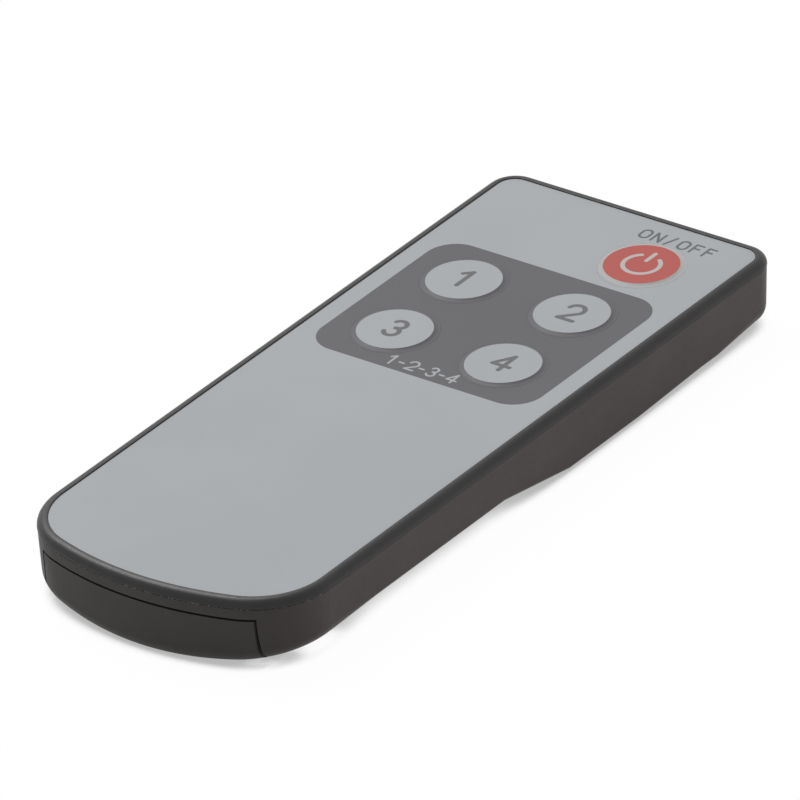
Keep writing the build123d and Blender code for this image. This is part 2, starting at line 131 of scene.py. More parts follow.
class Sheet:
    """A node tree under construction."""

    def __init__(self, tree: bpy.types.NodeTree) -> None:
        """Start on a tree, which may be a material's or a group's."""
        self.tree = tree

    def node(self, kind: str, settings: dict[str, object] | None = None,
             feeds: dict[str | int, Value | Triple | object] | None = None) -> bpy.types.Node:
        """Place a node.

        Args:
            kind: The node's type name.
            settings: Properties to set on the node.
            feeds: What each input socket gets, by name or number.

        Returns:
            The new node.
        """
        made = self.tree.nodes.new(kind)
        for name, value in (settings or {}).items():
            setattr(made, name, value)
        for key, value in (feeds or {}).items():
            self.feed(made.inputs[key], value)
        return made

    def feed(self, socket: Socket, value: object) -> None:
        """Give a socket what it takes.

        Args:
            socket: The input socket.
            value: Another socket to link it to, or its plain value.
        """
        if isinstance(value, bpy.types.NodeSocket):
            self.tree.links.new(value, socket)
        else:
            socket.default_value = value

    def math(self, operation: str, *values: Value, clamp: bool = False) -> Socket:
        """Combine numbers with one maths node.

        Args:
            operation: The maths node's operation.
            values: Its operands in order.
            clamp: Whether the result is held between 0 and 1.

        Returns:
            The result's socket.
        """
        feeds = dict(enumerate(values))
        made = self.node("ShaderNodeMath", {"operation": operation, "use_clamp": clamp}, feeds)
        return made.outputs[0]

    def vector(self, operation: str, *values: Value | Triple) -> Socket:
        """Combine vectors with one vector maths node.

        Args:
            operation: The vector maths node's operation.
            values: Its operands in order.

        Returns:
            The result's socket, which is a number for a length, a distance or a dot product.
        """
        made = self.node("ShaderNodeVectorMath", {"operation": operation}, dict(enumerate(values)))
        return made.outputs["Value" if operation in ("LENGTH", "DOT_PRODUCT", "DISTANCE") else "Vector"]

    def scaled(self, source: Socket, factor: Value) -> Socket:
        """Multiply a vector by a number."""
        made = self.node("ShaderNodeVectorMath", {"operation": "SCALE"}, {0: source, "Scale": factor})
        return made.outputs["Vector"]

    def split(self, source: Socket) -> tuple[Socket, Socket, Socket]:
        """Give a vector's three coordinates."""
        made = self.node("ShaderNodeSeparateXYZ", None, {0: source})
        return made.outputs[0], made.outputs[1], made.outputs[2]

    def joined(self, x: Value, y: Value, z: Value) -> Socket:
        """Put three coordinates together."""
        return self.node("ShaderNodeCombineXYZ", None, {0: x, 1: y, 2: z}).outputs[0]

    def place_mm(self) -> Socket:
        """Give the place on the object, in millimetres."""
        return self.scaled(self.node("ShaderNodeTexCoord").outputs["Object"], 1 / MM)

    def in_plan(self, place: Socket) -> Socket:
        """Give a place without its height."""
        return self.vector("MULTIPLY", place, (1.0, 1.0, 0.0))

    def ramp(self, value: Value, low: Value, high: Value, start: Value = 0.0, end: Value = 1.0) -> Socket:
        """Turn a number smoothly from one level to another.

        Args:
            value: The number to read.
            low: Where the change begins.
            high: Where the change is complete.
            start: Level up to the low end.
            end: Level from the high end on.

        Returns:
            The level's socket.
        """
        settings = {"interpolation_type": "SMOOTHSTEP"}
        feeds = {"Value": value, "From Min": low, "From Max": high, "To Min": start, "To Max": end}
        return self.node("ShaderNodeMapRange", settings, feeds).outputs["Result"]

    def mix(self, factor: Value, first: object, second: object) -> Socket:
        """Blend two colours."""
        made = self.node("ShaderNodeMix", {"data_type": "RGBA"}, {0: factor, 6: first, 7: second})
        return made.outputs[2]

    def noise(self, where: Socket, scale: Value, detail: float = 2.0) -> Socket:
        """Give smooth noise between 0 and 1."""
        feeds = {"Vector": where, "Scale": scale, "Detail": detail}
        return self.node("ShaderNodeTexNoise", None, feeds).outputs[0]

    def group(self, tree: bpy.types.NodeTree, feeds: dict[str, object]) -> bpy.types.Node:
        """Place a shader node group with its own values.

        Args:
            tree: The group's tree.
            feeds: What each named input gets.

        Returns:
            The group's node.
        """
        made = self.tree.nodes.new("ShaderNodeGroup")
        made.node_tree = tree
        for name, value in feeds.items():
            self.feed(made.inputs[name], value)
        return made


class Group(Sheet):
    """A node group with named inputs and outputs."""

    def __init__(self, name: str, takes: dict[str, Part], gives: dict[str, Part],
                 kind: str = "ShaderNodeTree") -> None:
        """Open a group.

        Args:
            name: The group's name.
            takes: Kind of each named input.
            gives: Kind of each named output.
            kind: Type of tree, for shading or for geometry.
        """
        super().__init__(bpy.data.node_groups.new(name, kind))
        for way, parts in (("INPUT", takes), ("OUTPUT", gives)):
            for socket_name, part in parts.items():
                self.tree.interface.new_socket(name=socket_name, in_out=way, socket_type=part.value)
        self.taken = self.tree.nodes.new("NodeGroupInput").outputs
        self.given = self.tree.nodes.new("NodeGroupOutput").inputs


class Effects:
    """Shader node groups that several finishes share, each built once."""

    coarse_share: float = 0.31
    fine_weight: float = 0.65
    speck_cells_per_mm: float = 0.42
    speck_reach: Pair = (0.02, 0.05)
    streak_per_mm: Triple = (2.6, 0.22, 1.7)
    streak_range: Pair = (0.69, 0.76)
    patch_per_mm: float = 0.09
    patch_range: Pair = (0.52, 0.66)
    cloud_per_mm: float = 0.6

    def __init__(self) -> None:
        """Build every group."""
        self.grain = self._grain()
        self.wear = self._wear()
        self.stroke = self._stroke()
        self.bow = self._bow()
        self.panel = self._panel()
        self.brushing = self._brushing()

    def _grain(self) -> bpy.types.NodeTree:
        """Build fine surface grain, with a slow drift of tone over it.

        Returns:
            The group's tree.
        """
        sheet = Group("surface_grain", {"Place": Part.VECTOR, "Grain Per Mm": Part.NUMBER,
                                        "Drift Per Mm": Part.NUMBER},
                      {"Height": Part.NUMBER, "Drift": Part.NUMBER})
        place = sheet.taken["Place"]
        per_mm = sheet.taken["Grain Per Mm"]
        fine = sheet.noise(place, per_mm, detail=3.0)
        coarse = sheet.noise(place, sheet.math("MULTIPLY", per_mm, self.coarse_share), detail=1.0)
        height = sheet.math("ADD", sheet.math("MULTIPLY", fine, self.fine_weight),
                            sheet.math("MULTIPLY", coarse, 1 - self.fine_weight))
        sheet.feed(sheet.given["Height"], height)
        sheet.feed(sheet.given["Drift"], sheet.noise(place, sheet.taken["Drift Per Mm"]))
        return sheet.tree

    def _wear(self) -> bpy.types.NodeTree:
        """Build sparse scuffs and dust specks, as one mask.

        Returns:
            The group's tree.
        """
        sheet = Group("scuffs_and_dust", {"Place": Part.VECTOR, "Specks": Part.NUMBER,
                                          "Scuffs": Part.NUMBER}, {"Mask": Part.NUMBER})
        place = sheet.taken["Place"]
        cells = sheet.node("ShaderNodeTexVoronoi", None, {"Vector": place, "Scale": self.speck_cells_per_mm})
        dot = sheet.ramp(cells.outputs["Distance"], *self.speck_reach, 1.0, 0.0)
        specks = sheet.math("MULTIPLY", dot, sheet.taken["Specks"])
        along = sheet.vector("MULTIPLY", place, self.streak_per_mm)
        streak = sheet.ramp(sheet.noise(along, 1.0, detail=4.0), *self.streak_range)
        patch = sheet.ramp(sheet.noise(place, self.patch_per_mm, detail=1.0), *self.patch_range)
        scuffs = sheet.math("MULTIPLY", sheet.math("MULTIPLY", streak, patch), sheet.taken["Scuffs"])
        sheet.feed(sheet.given["Mask"], sheet.math("MAXIMUM", specks, scuffs, clamp=True))
        return sheet.tree

    @staticmethod
    def _stroke() -> bpy.types.NodeTree:
        """Build the distance from a place to a straight stroke.

        Returns:
            The group's tree.
        """
        sheet = Group("stroke_distance", {"Place": Part.VECTOR, "Start": Part.VECTOR, "End": Part.VECTOR},
                      {"Distance": Part.NUMBER})
        run = sheet.vector("SUBTRACT", sheet.taken["End"], sheet.taken["Start"])
        rel = sheet.vector("SUBTRACT", sheet.taken["Place"], sheet.taken["Start"])
        share = sheet.math("DIVIDE", sheet.vector("DOT_PRODUCT", rel, run),
                           sheet.vector("DOT_PRODUCT", run, run), clamp=True)
        gap = sheet.vector("SUBTRACT", rel, sheet.scaled(run, share))
        sheet.feed(sheet.given["Distance"], sheet.vector("LENGTH", gap))
        return sheet.tree

    @staticmethod
    def _bow() -> bpy.types.NodeTree:
        """Build the distance from a place to an arc, which has rounded ends.

        Returns:
            The group's tree.
        """
        sheet = Group("bow_distance", {"Place": Part.VECTOR, "Centre": Part.VECTOR, "Radius": Part.NUMBER,
                                       "Middle": Part.NUMBER, "Half Angle": Part.NUMBER},
                      {"Distance": Part.NUMBER})
        x, y, _ = sheet.split(sheet.vector("SUBTRACT", sheet.taken["Place"], sheet.taken["Centre"]))
        radius, half = sheet.taken["Radius"], sheet.taken["Half Angle"]
        turn = sheet.math("SUBTRACT", sheet.math("ARCTAN2", y, x), sheet.taken["Middle"])
        angle = sheet.math("ABSOLUTE", sheet.math("WRAP", turn, math.pi, -math.pi))
        reach = sheet.vector("LENGTH", sheet.joined(x, y, 0.0))
        along = sheet.math("ABSOLUTE", sheet.math("SUBTRACT", reach, radius))
        across = sheet.math("SUBTRACT", sheet.math("MULTIPLY", reach, sheet.math("COSINE", angle)),
                            sheet.math("MULTIPLY", radius, sheet.math("COSINE", half)))
        up = sheet.math("SUBTRACT", sheet.math("MULTIPLY", reach, sheet.math("SINE", angle)),
                        sheet.math("MULTIPLY", radius, sheet.math("SINE", half)))
        past_end = sheet.vector("LENGTH", sheet.joined(across, up, 0.0))
        within = sheet.math("LESS_THAN", angle, half)
        chosen = sheet.math("ADD", sheet.math("MULTIPLY", along, within),
                            sheet.math("MULTIPLY", past_end, sheet.math("SUBTRACT", 1.0, within)))
        sheet.feed(sheet.given["Distance"], chosen)
        return sheet.tree

    @staticmethod
    def _panel() -> bpy.types.NodeTree:
        """Build the signed distance to a rounded rectangle, which is negative inside it.

        Returns:
            The group's tree.
        """
        sheet = Group("panel_distance", {"Place": Part.VECTOR, "Centre": Part.VECTOR,
                                         "Half Size": Part.VECTOR, "Corner": Part.NUMBER},
                      {"Distance": Part.NUMBER})
        rel = sheet.vector("ABSOLUTE", sheet.vector("SUBTRACT", sheet.taken["Place"], sheet.taken["Centre"]))
        x, y, _ = sheet.split(sheet.vector("SUBTRACT", rel, sheet.taken["Half Size"]))
        corner = sheet.taken["Corner"]
        over_x, over_y = sheet.math("ADD", x, corner), sheet.math("ADD", y, corner)
        outside = sheet.vector("LENGTH", sheet.joined(sheet.math("MAXIMUM", over_x, 0.0),
                                                      sheet.math("MAXIMUM", over_y, 0.0), 0.0))
        inside = sheet.math("MINIMUM", sheet.math("MAXIMUM", over_x, over_y), 0.0)
        signed = sheet.math("SUBTRACT", sheet.math("ADD", outside, inside), corner)
        sheet.feed(sheet.given["Distance"], signed)
        return sheet.tree

    def _brushing(self) -> bpy.types.NodeTree:
        """Build the fine parallel lines of rolled strip.

        Returns:
            The group's tree.
        """
        sheet = Group("rolled_lines", {"Place": Part.VECTOR, "Stretch": Part.VECTOR},
                      {"Height": Part.NUMBER, "Tone": Part.NUMBER})
        place = sheet.taken["Place"]
        lines = sheet.noise(sheet.vector("MULTIPLY", place, sheet.taken["Stretch"]), 1.0, detail=5.0)
        sheet.feed(sheet.given["Height"], lines)
        cloud = sheet.noise(place, self.cloud_per_mm)
        sheet.feed(sheet.given["Tone"], sheet.math("MULTIPLY", lines, cloud))
        return sheet.tree


def main_shader(material: bpy.types.Material) -> bpy.types.Node:
    """Find the shader that a new material starts with."""
    return next(node for node in material.node_tree.nodes if node.type == "BSDF_PRINCIPLED")


@dataclass(frozen=True)
class Finish:
    """What every finish has: its name, tone, roughness and gloss."""

    name: str
    tone: Tone
    roughness: float = 0.5
    specular: float = 0.5

    def begin(self) -> tuple[Sheet, bpy.types.Material, bpy.types.Node, Socket]:
        """Open the material.

        Returns:
            The sheet, the material, its shader and the place on the object in millimetres.
        """
        material = bpy.data.materials.new(self.name)
        material.use_nodes = True
        material.diffuse_color = linear(self.tone)
        sheet = Sheet(material.node_tree)
        shader = main_shader(material)
        shader.inputs["Specular IOR Level"].default_value = self.specular
        return sheet, material, shader, sheet.place_mm()

    def roughened(self, sheet: Sheet, shader: bpy.types.Node, level: Socket, smoother: float,
                  rougher: float) -> None:
        """Let noise take the roughness a little below and above the finish's own."""
        rough = sheet.ramp(level, LOW_NOISE, HIGH_NOISE, self.roughness - smoother, self.roughness + rougher)
        sheet.feed(shader.inputs["Roughness"], rough)

    def bumped(self, sheet: Sheet, shader: bpy.types.Node, height: Socket, depth: float) -> None:
        """Let a height, in millimetres at full depth, shape the surface's normal."""
        bump = sheet.node("ShaderNodeBump", None, {"Strength": 1.0, "Distance": depth * MM, "Height": height})
        sheet.feed(shader.inputs["Normal"], bump.outputs["Normal"])


@dataclass(frozen=True)
class MouldedPlastic(Finish):
    """Plastic with the texture of its mould, and a little wear."""

    grain_per_mm: float = 5.5
    grain_depth: float = 0.012
    drift_per_mm: float = 0.12
    drift: float = 0.10
    specks: float = 0.25
    scuffs: float = 0.25
    worn_lift: int = 42
    swing: float = 0.05

    def material(self, effects: Effects) -> bpy.types.Material:
        """Build the moulded finish.

        Args:
            effects: The shared effects.

        Returns:
            The material.
        """
        sheet, material, shader, place = self.begin()
        grain = sheet.group(effects.grain, {"Place": place, "Grain Per Mm": self.grain_per_mm,
                                            "Drift Per Mm": self.drift_per_mm})
        wear = sheet.group(effects.wear, {"Place": place, "Specks": self.specks, "Scuffs": self.scuffs})
        darker = shaded(self.tone, 1 - self.drift)
        lighter = shaded(self.tone, 1 + self.drift)
        plain = sheet.mix(grain.outputs["Drift"], linear(darker), linear(lighter))
        worn = tuple(min(SCREEN_WHITE, channel + self.worn_lift) for channel in self.tone)
        sheet.feed(shader.inputs["Base Color"], sheet.mix(wear.outputs["Mask"], plain, linear(worn)))
        self.roughened(sheet, shader, grain.outputs["Height"], self.swing, self.swing)
        self.bumped(sheet, shader, grain.outputs["Height"], self.grain_depth)
        return material


@dataclass(frozen=True)
class RolledMetal(Finish):
    """Metal with the fine lines of rolling or turning."""

    stretch: Triple = (14.0, 1.0, 14.0)
    line_shade: float = 0.86
    line_depth: float = 0.004
    smoother: float = 0.07
    rougher: float = 0.09

    def material(self, effects: Effects) -> bpy.types.Material:
        """Build the rolled finish.

        Args:
            effects: The shared effects.

        Returns:
            The material.
        """
        sheet, material, shader, place = self.begin()
        shader.inputs["Metallic"].default_value = 1.0
        lines = sheet.group(effects.brushing, {"Place": place, "Stretch": self.stretch})
        darker = shaded(self.tone, self.line_shade)
        colour = sheet.mix(lines.outputs["Tone"], linear(self.tone), linear(darker))
        sheet.feed(shader.inputs["Base Color"], colour)
        self.roughened(sheet, shader, lines.outputs["Height"], self.smoother, self.rougher)
        self.bumped(sheet, shader, lines.outputs["Height"], self.line_depth)
        return material


@dataclass(frozen=True)
class Stroke:
    """A straight pen stroke in a glyph's box, whose height is 1."""

    start: Pair
    end: Pair


@dataclass(frozen=True)
class Bow:
    """A curved pen stroke: part of a circle, either side of its middle direction in degrees."""

    centre: Pair
    radius: float
    middle: float
    half: float


# Middle of a glyph's box, across it.
GLYPH_MIDDLE = 0.35
OVAL = (Bow((GLYPH_MIDDLE, 0.68), 0.32, 90, 90), Bow((GLYPH_MIDDLE, 0.32), 0.32, -90, 90),
        Stroke((0.03, 0.32), (0.03, 0.68)), Stroke((0.67, 0.32), (0.67, 0.68)))
GLYPHS: dict[str, tuple[Stroke | Bow, ...]] = {
    "1": (Stroke((0.1, 0.76), (0.37, 1.0)), Stroke((0.37, 1.0), (0.37, 0.0))),
    "2": (Bow((0.35, 0.7), 0.3, 66, 104), Stroke((0.582, 0.515), (0.06, 0.0)),
          Stroke((0.06, 0.0), (0.68, 0.0))),
    "3": (Bow((0.34, 0.755), 0.245, 32, 122), Bow((0.34, 0.265), 0.265, -35, 125)),
    "4": (Stroke((0.47, 1.0), (0.02, 0.3)), Stroke((0.02, 0.3), (0.7, 0.3)),
          Stroke((0.47, 1.0), (0.47, 0.0))),
    "O": OVAL,
    "N": (Stroke((0.05, 0.0), (0.05, 1.0)), Stroke((0.05, 1.0), (0.63, 0.0)),
          Stroke((0.63, 0.0), (0.63, 1.0))),
    "F": (Stroke((0.08, 0.0), (0.08, 1.0)), Stroke((0.08, 1.0), (0.6, 1.0)),
          Stroke((0.08, 0.53), (0.52, 0.53))),
    "/": (Stroke((0.1, -0.04), (0.5, 1.04)),),
    "-": (Stroke((0.14, 0.47), (0.46, 0.47)),),
}


@dataclass(frozen=True)
class Lettering:
    """A short row of generic marks, printed on the film or a key."""

    marks: str
    centre: Pair
    height: float
    pitch: float
    pen: float
    far: float = 10.0

    def mask(self, sheet: Sheet, effects: Effects, flat_place: Socket) -> Socket:
        """Draw the marks.

        Args:
            sheet: The material's sheet.
            effects: The shared effects.
            flat_place: Place on the object in millimetres, with no height.

        Returns:
            A mask that is 1 on the ink.
        """
        nearest: Value = self.far
        tall = self.height - self.pen
        left = self.centre[0] - self.pitch * (len(self.marks) - 1) / 2
        low = self.centre[1] - tall / 2
        for index, mark in enumerate(self.marks):
            origin = (left + index * self.pitch - GLYPH_MIDDLE * tall, low)
            for piece in GLYPHS[mark]:
                distance = self._distance(sheet, effects, flat_place, piece, origin, tall)
                nearest = sheet.math("MINIMUM", nearest, distance)
        return sheet.ramp(nearest, self.pen / 2 - INK_EDGE, self.pen / 2 + INK_EDGE, 1.0, 0.0)

    @staticmethod
    def _distance(sheet: Sheet, effects: Effects, place: Socket, piece: Stroke | Bow, origin: Pair,
                  tall: float) -> Socket:
        """Measure from the place to one stroke.

        Args:
            sheet: The material's sheet.
            effects: The shared effects.
            place: Place on the object in millimetres, with no height.
            piece: The stroke, in its glyph's box.
            origin: Where the glyph's box starts.
            tall: Height of the glyph's box.

        Returns:
            The distance's socket.
        """
        def put(point: Pair) -> Triple:
            """Move a point of the glyph's box to its place."""
            return (origin[0] + point[0] * tall, origin[1] + point[1] * tall, 0.0)

        if isinstance(piece, Stroke):
            feeds = {"Place": place, "Start": put(piece.start), "End": put(piece.end)}
            return sheet.group(effects.stroke, feeds).outputs[0]
        feeds = {"Place": place, "Centre": put(piece.centre), "Radius": piece.radius * tall,
                 "Middle": math.radians(piece.middle), "Half Angle": math.radians(piece.half)}
        return sheet.group(effects.bow, feeds).outputs[0]


@dataclass(frozen=True)
class Inks:
    """Tones of the printed film."""

    film: Tone = (166, 170, 173)
    panel: Tone = (88, 88, 92)
    dark: Tone = (98, 98, 100)
    word: Tone = (92, 94, 96)
    pale: Tone = (172, 175, 178)
    red: Tone = (175, 80, 73)
    halo: Tone = (186, 182, 178)
    skirt: Tone = (172, 173, 172)


@dataclass(frozen=True)
class FacePrint:
    """Where the film's panel and words are, in millimetres."""

    centre: Pair = (-0.05, 20.1)
    half_size: Pair = (17.35, 15.55)
    corner: float = 4.2
    power_words: Lettering = Lettering("ON/OFF", (9.15, 49.75), 2.4, 2.0, 0.36)
    panel_words: Lettering = Lettering("1-2-3-4", (0.1, 6.6), 2.4, 1.58, 0.3)


@dataclass(frozen=True)
class SatinFilm(Finish):
    """Printed film: a satin top over flat inks."""

    inks: Inks = Inks()
    grain_per_mm: float = 7.0
    grain_depth: float = 0.004
    drift_per_mm: float = 0.07
    drift: float = 0.035
    specks: float = 0.05
    scuffs: float = 0.04
    swing: float = 0.04

    def top(self, sheet: Sheet, effects: Effects, shader: bpy.types.Node, place: Socket, ink: Socket) -> None:
        """Lay the satin top over the inks.

        Args:
            sheet: The material's sheet.
            effects: The shared effects.
            shader: The material's shader.
            place: Place on the object in millimetres.
            ink: Colour of the print.
        """
        grain = sheet.group(effects.grain, {"Place": place, "Grain Per Mm": self.grain_per_mm,
                                            "Drift Per Mm": self.drift_per_mm})
        wear = sheet.group(effects.wear, {"Place": place, "Specks": self.specks, "Scuffs": self.scuffs})
        shade = sheet.ramp(grain.outputs["Drift"], LOW_NOISE, HIGH_NOISE, 0.0, self.drift)
        toned = sheet.mix(shade, ink, BLACK)
        sheet.feed(shader.inputs["Base Color"], sheet.mix(wear.outputs["Mask"], toned, WHITE))
        self.roughened(sheet, shader, grain.outputs["Height"], self.swing, self.swing)
        self.bumped(sheet, shader, grain.outputs["Height"], self.grain_depth)

    def material(self, effects: Effects) -> bpy.types.Material:
        """Build the face film with its panel and words.

        Args:
            effects: The shared effects.

        Returns:
            The material.
        """
        sheet, material, shader, place = self.begin()
        flat = sheet.in_plan(place)
        panel = FacePrint()
        distance = sheet.group(effects.panel, {"Place": flat, "Centre": (*panel.centre, 0.0),
                                               "Half Size": (*panel.half_size, 0.0),
                                               "Corner": panel.corner}).outputs[0]
        on_panel = sheet.ramp(distance, -INK_EDGE, INK_EDGE, 1.0, 0.0)
        ink = sheet.mix(on_panel, linear(self.inks.film), linear(self.inks.panel))
        for words, tone in ((panel.power_words, self.inks.word), (panel.panel_words, self.inks.pale)):
            ink = sheet.mix(words.mask(sheet, effects, flat), ink, linear(tone))
        self.top(sheet, effects, shader, place, ink)
        return material


class KeyStyle(Enum):
    """The two kinds of key."""

    NUMBER = "number"
    POWER = "power"


@dataclass(frozen=True)
class KeyFilm(SatinFilm):
    """Film over a key: its disc, its skirt and its mark."""

    style: KeyStyle = KeyStyle.NUMBER
    mark: str = "1"
    centre: Pair = (0.0, 0.0)
    disc: float = 5.0
    digit_rise: float = 0.2
    digit_height: float = 4.5
    digit_pen: float = 0.68
    ring_radius: float = 2.45
    ring_middle: float = -90.0
    ring_half_angle: float = 145.0
    bar_run: Pair = (1.06, 3.1)
    ring_pen: float = 0.6

    def material(self, effects: Effects) -> bpy.types.Material:
        """Build the key's print.

        Args:
            effects: The shared effects.

        Returns:
            The material.
        """
        sheet, material, shader, place = self.begin()
        flat = sheet.in_plan(place)
        reach = sheet.vector("DISTANCE", flat, (*self.centre, 0.0))
        on_disc = sheet.ramp(reach, self.disc - INK_EDGE, self.disc + INK_EDGE, 1.0, 0.0)
        if self.style is KeyStyle.NUMBER:
            skirt, face, mark_tone = self.inks.panel, self.inks.film, self.inks.dark
            place_of_mark = (self.centre[0], self.centre[1] + self.digit_rise)
            digit = Lettering(self.mark, place_of_mark, self.digit_height, 0.0, self.digit_pen)
            mark = digit.mask(sheet, effects, flat)
        else:
            skirt, face, mark_tone = self.inks.skirt, self.inks.red, self.inks.halo
            mark = self._power_mark(sheet, effects, flat)
        ink = sheet.mix(on_disc, linear(skirt), linear(face))
        ink = sheet.mix(mark, ink, linear(mark_tone))
        self.top(sheet, effects, shader, place, ink)
        return material

    def _power_mark(self, sheet: Sheet, effects: Effects, flat: Socket) -> Socket:
        """Draw the usual broken ring with a bar.

        Args:
            sheet: The material's sheet.
            effects: The shared effects.
            flat: Place on the object in millimetres, with no height.

        Returns:
            A mask that is 1 on the ink.
        """
        x, y = self.centre
        ring = sheet.group(effects.bow, {"Place": flat, "Centre": (x, y, 0.0), "Radius": self.ring_radius,
                                         "Middle": math.radians(self.ring_middle),
                                         "Half Angle": math.radians(self.ring_half_angle)})
        low, high = self.bar_run
        bar = sheet.group(effects.stroke, {"Place": flat, "Start": (x, y + low, 0.0),
                                           "End": (x, y + high, 0.0)})
        nearest = sheet.math("MINIMUM", ring.outputs[0], bar.outputs[0])
        return sheet.ramp(nearest, self.ring_pen / 2 - INK_EDGE, self.ring_pen / 2 + INK_EDGE, 1.0, 0.0)


@dataclass(frozen=True)
class Laminate(Finish):
    """Circuit board: brown laminate with copper runs, and round contacts under the keys."""

    contacts: tuple[Pair, ...] = ()
    top_level: float = 0.0
    half_thickness: float = 0.5
    grain_per_mm: float = 3.0
    grain_depth: float = 0.006
    drift_per_mm: float = 0.3
    drift_shade: float = 0.82
    copper: Tone = (198, 132, 86)
    copper_roughness: float = 0.32
    copper_edge: float = 0.04
    copper_from: Pair = (0.46, 0.49)
    lane_half: float = 0.2
    lane_pitch: float = 0.9
    bend_per_mm: float = 0.21
    bend: float = 1.6
    patch_per_mm: Triple = (0.35, 0.05, 0.0)
    patch_range: Pair = (0.5, 0.53)
    ring_radius: float = 3.9
    ring_half: float = 0.5
    pad_radius: float = 1.5
    clear_radius: float = 4.9

    def material(self, effects: Effects) -> bpy.types.Material:
        """Build the board's laminate, copper and contacts.

        Args:
            effects: The shared effects.

        Returns:
            The material.
        """
        sheet, material, shader, place = self.begin()
        grain = sheet.group(effects.grain, {"Place": place, "Grain Per Mm": self.grain_per_mm,
                                            "Drift Per Mm": self.drift_per_mm})
        run = self._with_contacts(sheet, place, self._lanes(sheet, place))
        from_middle = sheet.math("SUBTRACT", sheet.split(place)[2], self.top_level - self.half_thickness)
        on_face = sheet.ramp(sheet.math("ABSOLUTE", from_middle), *self.copper_from)
        copper = sheet.math("MULTIPLY", run, on_face)
        darker = shaded(self.tone, self.drift_shade)
        base = sheet.mix(grain.outputs["Drift"], linear(self.tone), linear(darker))
        sheet.feed(shader.inputs["Base Color"], sheet.mix(copper, base, linear(self.copper)))
        sheet.feed(shader.inputs["Metallic"], copper)
        rough = sheet.ramp(copper, 0.0, 1.0, self.roughness, self.copper_roughness)
        sheet.feed(shader.inputs["Roughness"], rough)
        self.bumped(sheet, shader, grain.outputs["Height"], self.grain_depth)
        return material

    def _within(self, sheet: Sheet, distance: Socket, limit: float) -> Socket:
        """Give a mask that is 1 up to a distance, with the copper's soft edge."""
        return sheet.ramp(distance, limit, limit + self.copper_edge, 1.0, 0.0)

    def _lanes(self, sheet: Sheet, place: Socket) -> Socket:
        """Draw the copper runs along the board, in patches.

        Args:
            sheet: The material's sheet.
            place: Place on the object in millimetres.

        Returns:
            A mask that is 1 on the runs.
        """
        x, y, _ = sheet.split(place)
        swing = sheet.math("SINE", sheet.math("MULTIPLY", y, self.bend_per_mm))
        bent = sheet.math("ADD", x, sheet.math("MULTIPLY", swing, self.bend))
        lane = sheet.math("PINGPONG", bent, self.lane_pitch)
        patch = sheet.noise(sheet.vector("MULTIPLY", place, self.patch_per_mm), 1.0, detail=0.0)
        wanted = sheet.ramp(patch, *self.patch_range)
        return sheet.math("MULTIPLY", self._within(sheet, lane, self.lane_half), wanted)

    def _with_contacts(self, sheet: Sheet, place: Socket, run: Socket) -> Socket:
        """Clear a round place under each key and put its ring and pad there.

        Args:
            sheet: The material's sheet.
            place: Place on the object in millimetres.
            run: Mask of the runs.

        Returns:
            A mask that is 1 on the runs and on the contacts.
        """
        flat = sheet.in_plan(place)
        for contact in self.contacts:
            reach = sheet.vector("DISTANCE", flat, (*contact, 0.0))
            from_ring = sheet.math("ABSOLUTE", sheet.math("SUBTRACT", reach, self.ring_radius))
            ring = self._within(sheet, from_ring, self.ring_half)
            pad = self._within(sheet, reach, self.pad_radius)
            clear = sheet.ramp(reach, self.clear_radius, self.clear_radius + self.copper_edge)
            run = sheet.math("MAXIMUM", sheet.math("MULTIPLY", run, clear), sheet.math("MAXIMUM", ring, pad))
        return run


@dataclass(frozen=True)
class TinnedEnds(MouldedPlastic):
    """Moulded component whose ends or legs are tinned metal, past a distance from its middle."""

    middle: float = 0.0
    body_half: float = 1.0
    axis: Axis = Axis.ALONG
    pitch: float = 0.0
    tin: Tone = (214, 214, 210)
    tin_edge: float = 0.02

    def material(self, effects: Effects) -> bpy.types.Material:
        """Build the body's finish and turn it to metal past its half width.

        Args:
            effects: The shared effects.

        Returns:
            The material.
        """
        material = super().material(effects)
        sheet = Sheet(material.node_tree)
        shader = main_shader(material)
        away = sheet.math("SUBTRACT", sheet.split(sheet.place_mm())[self.axis.value], self.middle)
        if self.pitch:
            away = sheet.math("WRAP", away, self.pitch / 2, -self.pitch / 2)
        metal = sheet.ramp(sheet.math("ABSOLUTE", away), self.body_half, self.body_half + self.tin_edge)
        body = shader.inputs["Base Color"].links[0].from_socket
        sheet.feed(shader.inputs["Base Color"], sheet.mix(metal, body, linear(self.tin)))
        sheet.feed(shader.inputs["Metallic"], metal)
        return material


@dataclass(frozen=True)
class ClearResin(Finish):
    """Clear cast resin with a slight tint and faint flow lines."""

    clearness: float = 0.85
    bending: float = 1.5
    flow_per_mm: float = 1.2
    flow_depth: float = 0.003
    drift_per_mm: float = 0.4
    drift_shade: float = 1.06
    rougher: float = 0.05

    def material(self, effects: Effects) -> bpy.types.Material:
        """Build the resin.

        Args:
            effects: The shared effects.

        Returns:
            The material.
        """
        sheet, material, shader, place = self.begin()
        shader.inputs["Transmission Weight"].default_value = self.clearness
        shader.inputs["IOR"].default_value = self.bending
        grain = sheet.group(effects.grain, {"Place": place, "Grain Per Mm": self.flow_per_mm,
                                            "Drift Per Mm": self.drift_per_mm})
        lighter = shaded(self.tone, self.drift_shade)
        colour = sheet.mix(grain.outputs["Drift"], linear(self.tone), linear(lighter))
        sheet.feed(shader.inputs["Base Color"], colour)
        self.roughened(sheet, shader, grain.outputs["Drift"], 0.0, self.rougher)
        self.bumped(sheet, shader, grain.outputs["Height"], self.flow_depth)
        return material


